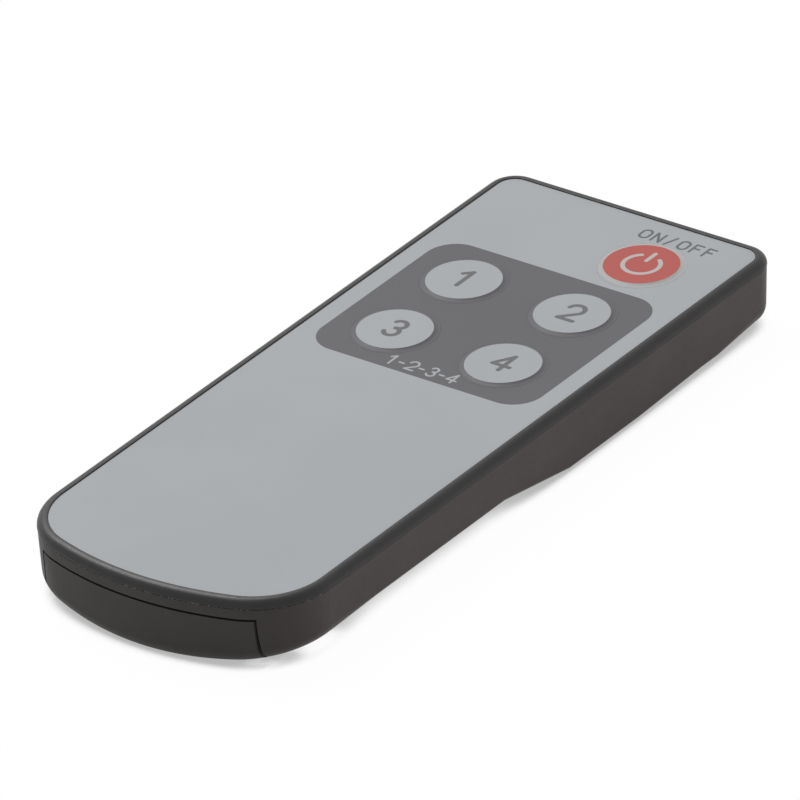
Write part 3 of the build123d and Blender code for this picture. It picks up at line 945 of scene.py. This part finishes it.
@dataclass(frozen=True)
class CellSteel(RolledMetal):
    """Steel of the coin cell, turned round its centre, with a plain plus mark on its cap."""

    centre: Pair = (0.0, 0.0)
    turns_per_mm: float = 9.0
    turn_share: float = 0.2
    mark_rise: float = 5.0
    mark_half: float = 1.6
    mark_edge: Pair = (0.16, 0.24)
    mark_shade: float = 0.7
    mark_depth: float = 0.02
    smoother: float = 0.06
    rougher: float = 0.08

    def material(self, effects: Effects) -> bpy.types.Material:
        """Build the turned steel with its mark.

        Args:
            effects: The shared effects.

        Returns:
            The material.
        """
        sheet, material, shader, place = self.begin()
        shader.inputs["Metallic"].default_value = 1.0
        flat = sheet.vector("SUBTRACT", sheet.in_plan(place), (*self.centre, 0.0))
        turns = sheet.math("MULTIPLY", sheet.vector("LENGTH", flat), self.turns_per_mm)
        lines = sheet.noise(sheet.joined(turns, 0.0, 0.0), 1.0, detail=4.0)
        half, rise = self.mark_half, self.mark_rise
        across = sheet.group(effects.stroke, {"Place": flat, "Start": (-half, rise, 0.0),
                                              "End": (half, rise, 0.0)})
        up = sheet.group(effects.stroke, {"Place": flat, "Start": (0.0, rise - half, 0.0),
                                          "End": (0.0, rise + half, 0.0)})
        nearest = sheet.math("MINIMUM", across.outputs[0], up.outputs[0])
        mark = sheet.ramp(nearest, *self.mark_edge, 1.0, 0.0)
        darker = shaded(self.tone, self.mark_shade)
        sheet.feed(shader.inputs["Base Color"], sheet.mix(mark, linear(self.tone), linear(darker)))
        self.roughened(sheet, shader, lines, self.smoother, self.rougher)
        height = sheet.math("SUBTRACT", sheet.math("MULTIPLY", lines, self.turn_share), mark)
        self.bumped(sheet, shader, height, self.mark_depth)
        return material


def dress(node: str, material: bpy.types.Material) -> None:
    """Give a carried-over piece its material.

    Args:
        node: Name of the piece in the frame.
        material: Its finish.
    """
    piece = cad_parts[node]
    piece.data.materials.clear()
    piece.data.materials.append(material)
    log.info("dressed %s with %s", node, material.name)


def box_mm(node: str) -> tuple[Vector, Vector]:
    """Give the lowest and highest corner of a piece in millimetres."""
    low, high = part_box(node)
    return Vector(low) / MM, Vector(high) / MM


def centre_mm(node: str) -> Pair:
    """Give the middle of a piece in plan, in millimetres."""
    low, high = box_mm(node)
    return ((low.x + high.x) / 2, (low.y + high.y) / 2)


def mesh_object(name: str, mesh: bpy.types.Mesh) -> bpy.types.Object:
    """Put a mesh in the scene as an object at the origin.

    Args:
        name: The object's name.
        mesh: Its mesh.

    Returns:
        The object.
    """
    made = bpy.data.objects.new(name, mesh)
    bpy.context.scene.collection.objects.link(made)
    return made


def points_object(name: str, points: list[Triple], joined: bool = False) -> bpy.types.Object:
    """Make an object of bare points, for Geometry Nodes to build on.

    Args:
        name: The object's name.
        points: Places in millimetres.
        joined: Whether each point is joined to the next.

    Returns:
        The object.
    """
    mesh = bpy.data.meshes.new(name)
    edges = [(index, index + 1) for index in range(len(points) - 1)] if joined else []
    mesh.from_pydata([tuple(part * MM for part in point) for point in points], edges, [])
    return mesh_object(name, mesh)


def grown(source: bpy.types.Object, tree: bpy.types.NodeTree, values: dict[str, object]) -> bpy.types.Object:
    """Run a Geometry Nodes tree on an object and keep the result as a plain mesh.

    Args:
        source: What the tree builds on.
        tree: The tree.
        values: What each named input gets.

    Returns:
        The same object, which holds the finished mesh and no modifier.
    """
    modifier = source.modifiers.new(tree.name, "NODES")
    modifier.node_group = tree
    for item in tree.interface.items_tree:
        if item.item_type == "SOCKET" and item.in_out == "INPUT" and item.name in values:
            modifier[item.identifier] = values[item.name]
    depsgraph = bpy.context.evaluated_depsgraph_get()
    mesh = bpy.data.meshes.new_from_object(source.evaluated_get(depsgraph))
    source.modifiers.remove(modifier)
    source.data = mesh
    return source


def turned(name: str, profile: list[Pair], centre: Triple, steps: int,
           axis: Axis = Axis.UP) -> bpy.types.Object:
    """Turn a closed profile round an axis.

    Args:
        name: The object's name.
        profile: Points as radius and place along the axis, in millimetres.
        centre: A point of the axis, in millimetres.
        steps: How many steps make the full turn.
        axis: The axis, which points up or along the remote.

    Returns:
        The object.
    """
    weld = 1e-7
    shape = bmesh.new()
    rings = []
    for step in range(steps):
        angle = 2 * math.pi * step / steps
        ring = []
        for radius, along in profile:
            across, up = radius * math.cos(angle), radius * math.sin(angle)
            local = (across, up, along) if axis is Axis.UP else (across, along, up)
            ring.append(shape.verts.new([(local[part] + centre[part]) * MM for part in range(3)]))
        rings.append(ring)
    for step in range(steps):
        here, there = rings[step], rings[(step + 1) % steps]
        for index in range(len(profile)):
            after = (index + 1) % len(profile)
            shape.faces.new((here[index], there[index], there[after], here[after]))
    bmesh.ops.remove_doubles(shape, verts=shape.verts, dist=weld)
    bmesh.ops.recalc_face_normals(shape, faces=shape.faces)
    mesh = bpy.data.meshes.new(name)
    shape.to_mesh(mesh)
    shape.free()
    return mesh_object(name, mesh)


class GrowingTrees:
    """Geometry Nodes trees for what repeats."""

    kind: str = "GeometryNodeTree"
    bead_segments: int = 12
    bead_rings: int = 8
    ring_steps: int = 96
    ring_section_steps: int = 8
    speck_steps: int = 2
    speck_least: Triple = (0.45, 0.45, 0.3)
    speck_most: Triple = (1.5, 1.2, 0.9)

    def __init__(self) -> None:
        """Build every tree."""
        self.beads = self._beads()
        self.specks = self._specks()
        self.rings = self._rings()

    def _beads(self) -> bpy.types.NodeTree:
        """Build a small flattened bead on every point.

        Returns:
            The tree.
        """
        sheet = Group("beads_on_points", {"Geometry": Part.SHAPE, "Radius": Part.NUMBER,
                                          "Flatness": Part.NUMBER, "Finish": Part.MATERIAL},
                      {"Geometry": Part.SHAPE}, self.kind)
        bead = sheet.node("GeometryNodeMeshUVSphere", None, {
            "Segments": self.bead_segments, "Rings": self.bead_rings, "Radius": sheet.taken["Radius"]})
        size = sheet.joined(1.0, 1.0, sheet.taken["Flatness"])
        placed = sheet.node("GeometryNodeInstanceOnPoints", None, {
            "Points": sheet.taken["Geometry"], "Instance": bead.outputs["Mesh"], "Scale": size})
        self._end(sheet, placed.outputs[0])
        return sheet.tree

    def _rings(self) -> bpy.types.NodeTree:
        """Build a thin flat ring on every point.

        Returns:
            The tree.
        """
        sheet = Group("rings_on_points", {"Geometry": Part.SHAPE, "Radius": Part.NUMBER,
                                          "Half Width": Part.NUMBER, "Flatness": Part.NUMBER,
                                          "Finish": Part.MATERIAL},
                      {"Geometry": Part.SHAPE}, self.kind)
        line = sheet.node("GeometryNodeCurvePrimitiveCircle", None, {
            "Resolution": self.ring_steps, "Radius": sheet.taken["Radius"]})
        section = sheet.node("GeometryNodeCurvePrimitiveCircle", None, {
            "Resolution": self.ring_section_steps, "Radius": sheet.taken["Half Width"]})
        swept = sheet.node("GeometryNodeCurveToMesh", None, {
            "Curve": line.outputs[0], "Profile Curve": section.outputs[0]})
        flat = sheet.node("GeometryNodeTransform", None, {
            "Geometry": swept.outputs[0], "Scale": sheet.joined(1.0, 1.0, sheet.taken["Flatness"])})
        placed = sheet.node("GeometryNodeInstanceOnPoints", None, {
            "Points": sheet.taken["Geometry"], "Instance": flat.outputs[0]})
        self._end(sheet, placed.outputs[0])
        return sheet.tree

    def _specks(self) -> bpy.types.NodeTree:
        """Build uneven specks at random along a line.

        Returns:
            The tree.
        """
        sheet = Group("specks_along_line", {"Geometry": Part.SHAPE, "Places": Part.WHOLE,
                                            "Share": Part.NUMBER, "Radius": Part.NUMBER,
                                            "Seed": Part.WHOLE, "Finish": Part.MATERIAL},
                      {"Geometry": Part.SHAPE}, self.kind)
        line = sheet.node("GeometryNodeMeshToCurve", None, {"Mesh": sheet.taken["Geometry"]})
        spaced = sheet.node("GeometryNodeResampleCurve", None, {
            "Curve": line.outputs[0], "Count": sheet.taken["Places"]})
        chosen = sheet.node("FunctionNodeRandomValue", {"data_type": "BOOLEAN"})
        sheet.feed(next(s for s in chosen.inputs if s.name == "Probability"), sheet.taken["Share"])
        sheet.feed(chosen.inputs["Seed"], sheet.taken["Seed"])
        sizes = sheet.node("FunctionNodeRandomValue", {"data_type": "FLOAT_VECTOR"},
                           {0: self.speck_least, 1: self.speck_most, "Seed": sheet.taken["Seed"]})
        speck_shape = sheet.node("GeometryNodeMeshIcoSphere", None, {
            "Radius": sheet.taken["Radius"], "Subdivisions": self.speck_steps})
        picked = next(s for s in chosen.outputs if s.type == "BOOLEAN")
        placed = sheet.node("GeometryNodeInstanceOnPoints", None, {
            "Points": spaced.outputs[0], "Selection": picked, "Instance": speck_shape.outputs["Mesh"],
            "Scale": sizes.outputs[0]})
        self._end(sheet, placed.outputs[0])
        return sheet.tree

    @staticmethod
    def _end(sheet: Group, shape: Socket) -> None:
        """Realise the instances and give them their material.

        Args:
            sheet: The tree's sheet.
            shape: The placed instances.
        """
        whole = sheet.node("GeometryNodeRealizeInstances", None, {0: shape})
        ended = sheet.node("GeometryNodeSetMaterial", None, {
            "Geometry": whole.outputs[0], "Material": sheet.taken["Finish"]})
        sheet.feed(sheet.given["Geometry"], ended.outputs[0])


@dataclass
class Case:
    """The two mouldings, with pale specks along their parting line."""

    near_radius: float = 44.0
    near_corner: float = 9.4
    face_half: float = 20.1
    arc_centre: float = -9.2
    seam_side: float = 1.4
    seam_level: float = 8.88
    shell: MouldedPlastic = MouldedPlastic("black_case", (71, 67, 66), 0.5, 0.16)
    rim: MouldedPlastic = MouldedPlastic("rim_plastic", (44, 43, 43), 0.4, 0.3, grain_depth=0.008)
    # Tiny pale beads along the parting line round the near end, much lighter than the case round them.
    seam_specks: MouldedPlastic = MouldedPlastic("pale_seam_specks", (206, 200, 188), 0.6, 0.3)
    seam_speck_places: int = 420
    seam_speck_share: float = 0.3
    seam_speck_radius: float = 0.06
    seam_speck_seed: int = 7
    arc_steps: int = 24
    bend_steps: int = 8

    def build(self, effects: Effects, trees: GrowingTrees) -> None:
        """Dress the mouldings and add the pale specks along the parting line.

        Args:
            effects: The shared effects.
            trees: The Geometry Nodes trees.
        """
        dress("top_case", self.rim.material(effects))
        dress("bottom_case", self.shell.material(effects))
        seam_specks = points_object("parting_line_specks", self._seam_line(), joined=True)
        grown(seam_specks, trees.specks, {"Places": self.seam_speck_places, "Share": self.seam_speck_share,
                                    "Radius": self.seam_speck_radius * MM, "Seed": self.seam_speck_seed,
                                    "Finish": self.seam_specks.material(effects)})
        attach(seam_specks, Body.HOUSING.value)
        log.info("made %s with %d faces", seam_specks.name, len(seam_specks.data.polygons))

    def _seam_line(self) -> list[Triple]:
        """Follow the parting line round the near end, from the left corner to the right one.

        Returns:
            Places along the line, in millimetres.
        """
        side = self.seam_side
        radius = self.near_radius + side
        corner = self.near_corner + side
        corner_x = self.face_half + side - corner
        corner_y = self.arc_centre - math.sqrt((radius - corner) ** 2 - corner_x**2)
        swing = math.atan2(corner_x, self.arc_centre - corner_y)
        points = []
        for step in range(self.arc_steps + 1):
            angle = swing * (2 * step / self.arc_steps - 1)
            across = radius * math.sin(angle)
            points.append((across, self.arc_centre - radius * math.cos(angle), self.seam_level))
        quarter = math.radians(90)
        for way, on_right in ((-1, False), (1, True)):
            bend = []
            for step in range(self.bend_steps + 1):
                angle = quarter - (quarter - swing) * step / self.bend_steps
                bend.append((way * (corner_x + corner * math.sin(angle)),
                             corner_y - corner * math.cos(angle), self.seam_level))
            points = points + bend[::-1] if on_right else bend + points
        return points


@dataclass
class Face:
    """The film and the keys under it."""

    white: Tone = (170, 174, 176)
    red: Tone = (186, 88, 83)
    roughness: float = 0.5
    gloss: float = 0.3
    bridge_radius: float = 5.79
    bridge_half: float = 0.12
    bridge_flatness: float = 0.14

    def build(self, effects: Effects, trees: GrowingTrees) -> None:
        """Dress the film and every key, and carry the film across the gap round each key.

        Args:
            effects: The shared effects.
            trees: The Geometry Nodes trees.
        """
        film = SatinFilm("face_film", self.white, self.roughness, self.gloss).material(effects)
        dress("face_label", film)
        level = box_mm("face_label")[1].z
        bridges = points_object("film_bridges", [(*centre_mm(key), level) for key in KEY_DOMES])
        grown(bridges, trees.rings, {"Radius": self.bridge_radius * MM, "Half Width": self.bridge_half * MM,
                                     "Flatness": self.bridge_flatness, "Finish": film})
        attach(bridges, Body.HOUSING.value)
        log.info("made %s with %d faces", bridges.name, len(bridges.data.polygons))
        for number in NUMBERS:
            node = f"key_{number}"
            key = KeyFilm(f"key_film_{number}", self.white, self.roughness, self.gloss,
                          style=KeyStyle.NUMBER, mark=number, centre=centre_mm(node))
            dress(node, key.material(effects))
        power = KeyFilm("key_film_power", self.red, self.roughness, self.gloss,
                        style=KeyStyle.POWER, centre=centre_mm("power_key"))
        dress("power_key", power.material(effects))


@dataclass
class BatteryTray:
    """The tray, its latch arm and the cell, with the cell's sealing ring."""

    plastic: MouldedPlastic = MouldedPlastic("tray_plastic", (71, 68, 66), 0.52, 0.16)
    steel: Tone = (202, 201, 196)
    steel_roughness: float = 0.3
    seal: MouldedPlastic = MouldedPlastic("seal_nylon", (188, 186, 178), 0.45, 0.4, specks=0.0, scuffs=0.0)
    cap_radius: float = 8.7
    cap_step: float = 0.3
    seal_width: float = 0.42
    seal_height: float = 0.14
    seal_chamfer: float = 0.1
    seal_steps: int = 96

    def build(self, effects: Effects) -> None:
        """Dress the tray and build the sealing ring on the cell.

        Args:
            effects: The shared effects.
        """
        material = self.plastic.material(effects)
        for node in ("battery_tray", "tray_latch"):
            dress(node, material)
        centre = centre_mm("coin_cell")
        cell = CellSteel("cell_steel", self.steel, self.steel_roughness, centre=centre)
        dress("coin_cell", cell.material(effects))
        shoulder = box_mm("coin_cell")[1].z - self.cap_step
        inner, outer, high = self.cap_radius, self.cap_radius + self.seal_width, self.seal_height
        profile = [(inner, 0.0), (outer, 0.0), (outer, high / 2), (outer - self.seal_chamfer, high),
                   (inner, high)]
        ring = turned("cell_seal", profile, (*centre, shoulder), self.seal_steps)
        ring.data.materials.append(self.seal.material(effects))
        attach(ring, Body.TRAY.value)
        log.info("made %s with %d faces", ring.name, len(ring.data.polygons))


@dataclass
class Electronics:
    """The board and everything on it, and the lamp."""

    steel: RolledMetal = RolledMetal("spring_steel", (205, 202, 194), 0.28)
    can: RolledMetal = RolledMetal("can_metal", (214, 214, 212), 0.3, stretch=(1.0, 1.0, 12.0))
    solder: RolledMetal = RolledMetal("solder", (200, 201, 198), 0.34, stretch=(3.0, 3.0, 3.0))
    spacer: MouldedPlastic = MouldedPlastic("spacer_film", (222, 222, 218), 0.4, 0.4, specks=0.0, scuffs=0.1)
    adhesive: MouldedPlastic = MouldedPlastic("clear_adhesive", (206, 204, 196), 0.45, 0.4, specks=0.05)
    ceramic: MouldedPlastic = MouldedPlastic("ceramic", (190, 110, 34), 0.3, 0.5, specks=0.0, scuffs=0.0)
    lens: ClearResin = ClearResin("lamp_lens", (206, 212, 226), 0.06)
    laminate: Tone = (176, 140, 88)
    laminate_roughness: float = 0.45
    chip_black: Tone = (40, 40, 41)
    chip_half: float = 3.76
    transistor_black: Tone = (42, 42, 43)
    transistor_half: float = 0.66
    resistor_black: Tone = (38, 38, 40)
    resistor_half: float = 0.68
    resistor_pitch: float = 4.0
    component_roughness: float = 0.5
    resistor_roughness: float = 0.4
    leg_pitch: float = 1.27
    leg_count: int = 10
    solder_radius: float = 0.32
    solder_flatness: float = 0.42
    solder_drop: float = 0.14
    dome_metal: float = 0.1
    dome_foot: float = 0.3
    dome_pressed: float = 0.45
    dome_steps: int = 10
    dome_turn_steps: int = 64
    cup_back: float = 5.2
    cup_base: float = 0.75
    cup_rim: float = 0.95
    cup_mouth: float = 0.7
    cup_well: float = 0.45
    cup_height: float = 1.1
    cup_floor: float = 0.5
    cup_steps: int = 32

    def build(self, effects: Effects, trees: GrowingTrees) -> None:
        """Dress the inner pieces and add the domes, the solder and the lamp's inside.

        Args:
            effects: The shared effects.
            trees: The Geometry Nodes trees.
        """
        steel = self.steel.material(effects)
        for node in ("negative_contact", "positive_contact"):
            dress(node, steel)
        self._build_domes(steel)
        dress("dome_spacer", self.spacer.material(effects))
        dress("label_adhesive", self.adhesive.material(effects))
        dress("resonator", self.ceramic.material(effects))
        dress("capacitor", self.can.material(effects))
        self._dress_board(effects)
        self._dress_chips(effects)
        self._build_solder(effects, trees)
        self._build_lamp(effects, steel)

    def _dome_section(self, radius: float, height: float) -> list[Pair]:
        """Give the section of a thin dome, out from its top to its foot and back inside it.

        Args:
            radius: Radius of its foot, in millimetres.
            height: Its height, in millimetres.

        Returns:
            Points as radius and height over the foot.
        """
        section: list[Pair] = []
        inner = (radius - self.dome_foot, height - self.dome_metal)
        for reach, rise in ((radius, height), inner):
            curve = (reach**2 + rise**2) / (2 * rise)
            line = []
            for step in range(self.dome_steps + 1):
                across = reach * step / self.dome_steps
                line.append((across, rise - curve + math.sqrt(curve**2 - across**2)))
            section.extend(line if reach == radius else reversed(line))
        return section

    def _build_domes(self, steel: bpy.types.Material) -> None:
        """Build each key's dome as a thin shell in place of the frame's dome.

        Args:
            steel: The domes' finish.
        """
        for key, node in KEY_DOMES.items():
            low, high = box_mm(node)
            x, y = centre_mm(node)
            section = self._dome_section((high.x - low.x) / 2, high.z - low.z)
            made = turned(f"{node}_shell", section, (x, y, low.z), self.dome_turn_steps)
            made.data.materials.append(steel)
            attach(made, Body.HOUSING.value)
            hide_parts(node)
            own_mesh(made)
            log.info("made %s with %d faces", made.name, len(made.data.polygons))

    def _dress_board(self, effects: Effects) -> None:
        """Dress the board, with a contact under each dome.

        Args:
            effects: The shared effects.
        """
        contacts = tuple(centre_mm(key) for key in KEY_DOMES)
        top = box_mm("circuit_board")[1].z
        board = Laminate("board_laminate", self.laminate, self.laminate_roughness, contacts=contacts,
                         top_level=top)
        dress("circuit_board", board.material(effects))

    def _dress_chips(self, effects: Effects) -> None:
        """Dress the moulded components, whose legs and ends are tinned.

        Args:
            effects: The shared effects.
        """
        chip = TinnedEnds("chip_body", self.chip_black, self.component_roughness,
                          middle=centre_mm("controller_chip")[1], body_half=self.chip_half)
        dress("controller_chip", chip.material(effects))
        transistor = TinnedEnds("transistor_body", self.transistor_black, self.component_roughness,
                                middle=centre_mm("driver_transistor")[1], body_half=self.transistor_half)
        dress("driver_transistor", transistor.material(effects))
        resistor = TinnedEnds("resistor_body", self.resistor_black, self.resistor_roughness,
                              middle=centre_mm("chip_resistors")[0], body_half=self.resistor_half,
                              axis=Axis.ACROSS, pitch=self.resistor_pitch)
        dress("chip_resistors", resistor.material(effects))

    def _build_solder(self, effects: Effects, trees: GrowingTrees) -> None:
        """Put a bead of solder at each leg of the chip.

        Args:
            effects: The shared effects.
            trees: The Geometry Nodes trees.
        """
        low, high = box_mm("controller_chip")
        middle = centre_mm("controller_chip")[0]
        level = high.z - self.solder_drop
        points = [(middle + (index - (self.leg_count - 1) / 2) * self.leg_pitch, edge, level)
                  for edge in (low.y, high.y) for index in range(self.leg_count)]
        joints = points_object("solder_joints", points)
        grown(joints, trees.beads, {"Radius": self.solder_radius * MM, "Flatness": self.solder_flatness,
                                    "Finish": self.solder.material(effects)})
        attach(joints, Body.HOUSING.value)
        log.info("made %s with %d faces", joints.name, len(joints.data.polygons))

    def _build_lamp(self, effects: Effects, steel: bpy.types.Material) -> None:
        """Dress the lamp and put the reflector cup inside its lens.

        Args:
            effects: The shared effects.
            steel: The cup's finish.
        """
        dress("ir_led", self.lens.material(effects))
        low, high = box_mm("ir_led")
        axis_level = low.z + (high.x - low.x) / 2
        cup = [(0.0, 0.0), (self.cup_base, 0.0), (self.cup_rim, self.cup_height),
               (self.cup_mouth, self.cup_height), (self.cup_well, self.cup_floor), (0.0, self.cup_floor)]
        made = turned("lamp_cup", cup, (0.0, high.y - self.cup_back, axis_level), self.cup_steps, Axis.ALONG)
        made.data.materials.append(steel)
        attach(made, Body.HOUSING.value)
        log.info("made %s with %d faces", made.name, len(made.data.polygons))


@dataclass(frozen=True)
class SoftLamp:
    """A square soft lamp that faces the object, in metres and watts."""

    name: str
    place: Triple
    size: float
    power: float
    colour: Triple = (1.0, 1.0, 1.0)
    mirrored: bool = True

    def hang(self) -> None:
        """Put the lamp in the scene."""
        data = bpy.data.lights.new(self.name, "AREA")
        data.size = self.size
        data.color = self.colour
        data.energy = self.power
        lamp = bpy.data.objects.new(self.name, data)
        lamp.visible_glossy = self.mirrored
        turn = (-Vector(self.place)).to_track_quat("-Z", "Y").to_matrix().to_4x4()
        lamp.matrix_world = Matrix.Translation(self.place) @ turn
        bpy.context.scene.collection.objects.link(lamp)


@dataclass(frozen=True)
class Studio:
    """Floor, light and camera, as in the photograph."""

    azimuth: float = 38.14
    elevation: float = 29.81
    roll: float = -3.57
    camera_place: Triple = (1019.175, -1296.252, 953.351)
    lens: float = 675.0
    sensor: float = 36.0
    nearest_seen: float = 0.05
    lamps: tuple[SoftLamp, ...] = (
        SoftLamp("key_lamp", (-0.66, 0.24, 1.02), 0.7, 12.4),
        SoftLamp("side_lamp", (0.36, 0.33, 0.09), 0.2, 0.8, (1.0, 0.86, 0.85), mirrored=False),
    )
    fill: float = 0.25
    floor_half: float = 4.0
    floor_tone: float = 0.86
    lit_share: float = 0.02
    contact_reach: float = 0.0032
    contact_samples: int = 12
    contact_tone: float = 0.46
    contact_closed: float = 0.3
    contact_open: float = 0.62

    def build(self) -> None:
        """Set up the whole studio."""
        self._camera()
        self._world()
        self._floor()
        for lamp in self.lamps:
            lamp.hang()
        bpy.context.scene.view_settings.view_transform = "Standard"

    def _camera(self) -> None:
        """Put the camera where the photograph was taken from."""
        azimuth, elevation, roll = map(math.radians, (self.azimuth, self.elevation, self.roll))
        back = Vector((math.sin(azimuth) * math.cos(elevation), -math.cos(azimuth) * math.cos(elevation),
                       math.sin(elevation)))
        level = Vector((math.cos(azimuth), math.sin(azimuth), 0.0))
        upright = back.cross(level)
        right = level * math.cos(roll) + upright * math.sin(roll)
        up = back.cross(right)
        data = bpy.data.cameras.new("camera")
        data.lens = self.lens
        data.sensor_width = self.sensor
        data.clip_start = self.nearest_seen
        camera = bpy.data.objects.new("camera", data)
        turn = Matrix((right, up, back)).transposed().to_4x4()
        camera.matrix_world = Matrix.Translation(Vector(self.camera_place) * MM) @ turn
        bpy.context.scene.collection.objects.link(camera)
        bpy.context.scene.camera = camera

    @staticmethod
    def _seen(sheet: Sheet) -> Socket:
        """Tell the rays that show the background from those that light the object.

        Args:
            sheet: The sheet of the floor or the world.

        Returns:
            A level that is 1 for rays that show the background.
        """
        path = sheet.node("ShaderNodeLightPath")
        names = ("Is Camera Ray", "Is Glossy Ray", "Is Transmission Ray")
        first, second, third = (path.outputs[name] for name in names)
        return sheet.math("MAXIMUM", sheet.math("MAXIMUM", first, second), third)

    def _world(self) -> None:
        """Make the surroundings white to look at, and a plain soft light."""
        world = bpy.data.worlds.new("studio")
        world.use_nodes = True
        bpy.context.scene.world = world
        sheet = Sheet(world.node_tree)
        background = next(node for node in world.node_tree.nodes if node.type == "BACKGROUND")
        strength = sheet.math("ADD", self.fill, sheet.math("MULTIPLY", self._seen(sheet), 1.0 - self.fill))
        background.inputs["Color"].default_value = WHITE
        sheet.feed(background.inputs["Strength"], strength)

    def _floor(self) -> None:
        """Lay a plain pale floor, which looks white and keeps the object's shadow."""
        half = self.floor_half
        mesh = bpy.data.meshes.new("floor")
        corners = [(-half, -half, 0), (half, -half, 0), (half, half, 0), (-half, half, 0)]
        mesh.from_pydata(corners, [], [(0, 1, 2, 3)])
        floor = mesh_object("floor", mesh)
        material = bpy.data.materials.new("floor")
        material.use_nodes = True
        sheet = Sheet(material.node_tree)
        material.node_tree.nodes.clear()
        tone, share = self.floor_tone, self.lit_share
        matte = sheet.node("ShaderNodeBsdfDiffuse", None, {"Color": (tone, tone, tone, 1.0)})
        openness = sheet.node("ShaderNodeAmbientOcclusion", {"samples": self.contact_samples},
                              {"Distance": self.contact_reach})
        clear = sheet.ramp(openness.outputs["AO"], self.contact_closed, self.contact_open,
                           self.contact_tone, 1.0 - share)
        white = sheet.node("ShaderNodeEmission", None, {"Strength": clear})
        lit = sheet.node("ShaderNodeBsdfDiffuse", None, {"Color": (share, share, share, 1.0)})
        pale = sheet.node("ShaderNodeAddShader", None, {0: white.outputs[0], 1: lit.outputs[0]})
        whole = sheet.node("ShaderNodeMixShader", None, {0: self._seen(sheet), 1: matte.outputs[0],
                                                         2: pale.outputs[0]})
        sheet.node("ShaderNodeOutputMaterial", None, {"Surface": whole.outputs[0]})
        floor.data.materials.append(material)


def main() -> None:
    """Build the remote's looks, sub-assembly by sub-assembly."""
    logging.basicConfig(level=logging.INFO, format="%(name)s: %(message)s")
    effects = Effects()
    trees = GrowingTrees()
    Studio().build()
    Case().build(effects, trees)
    Face().build(effects, trees)
    BatteryTray().build(effects)
    Electronics().build(effects, trees)


if __name__ == "__main__":
    main()
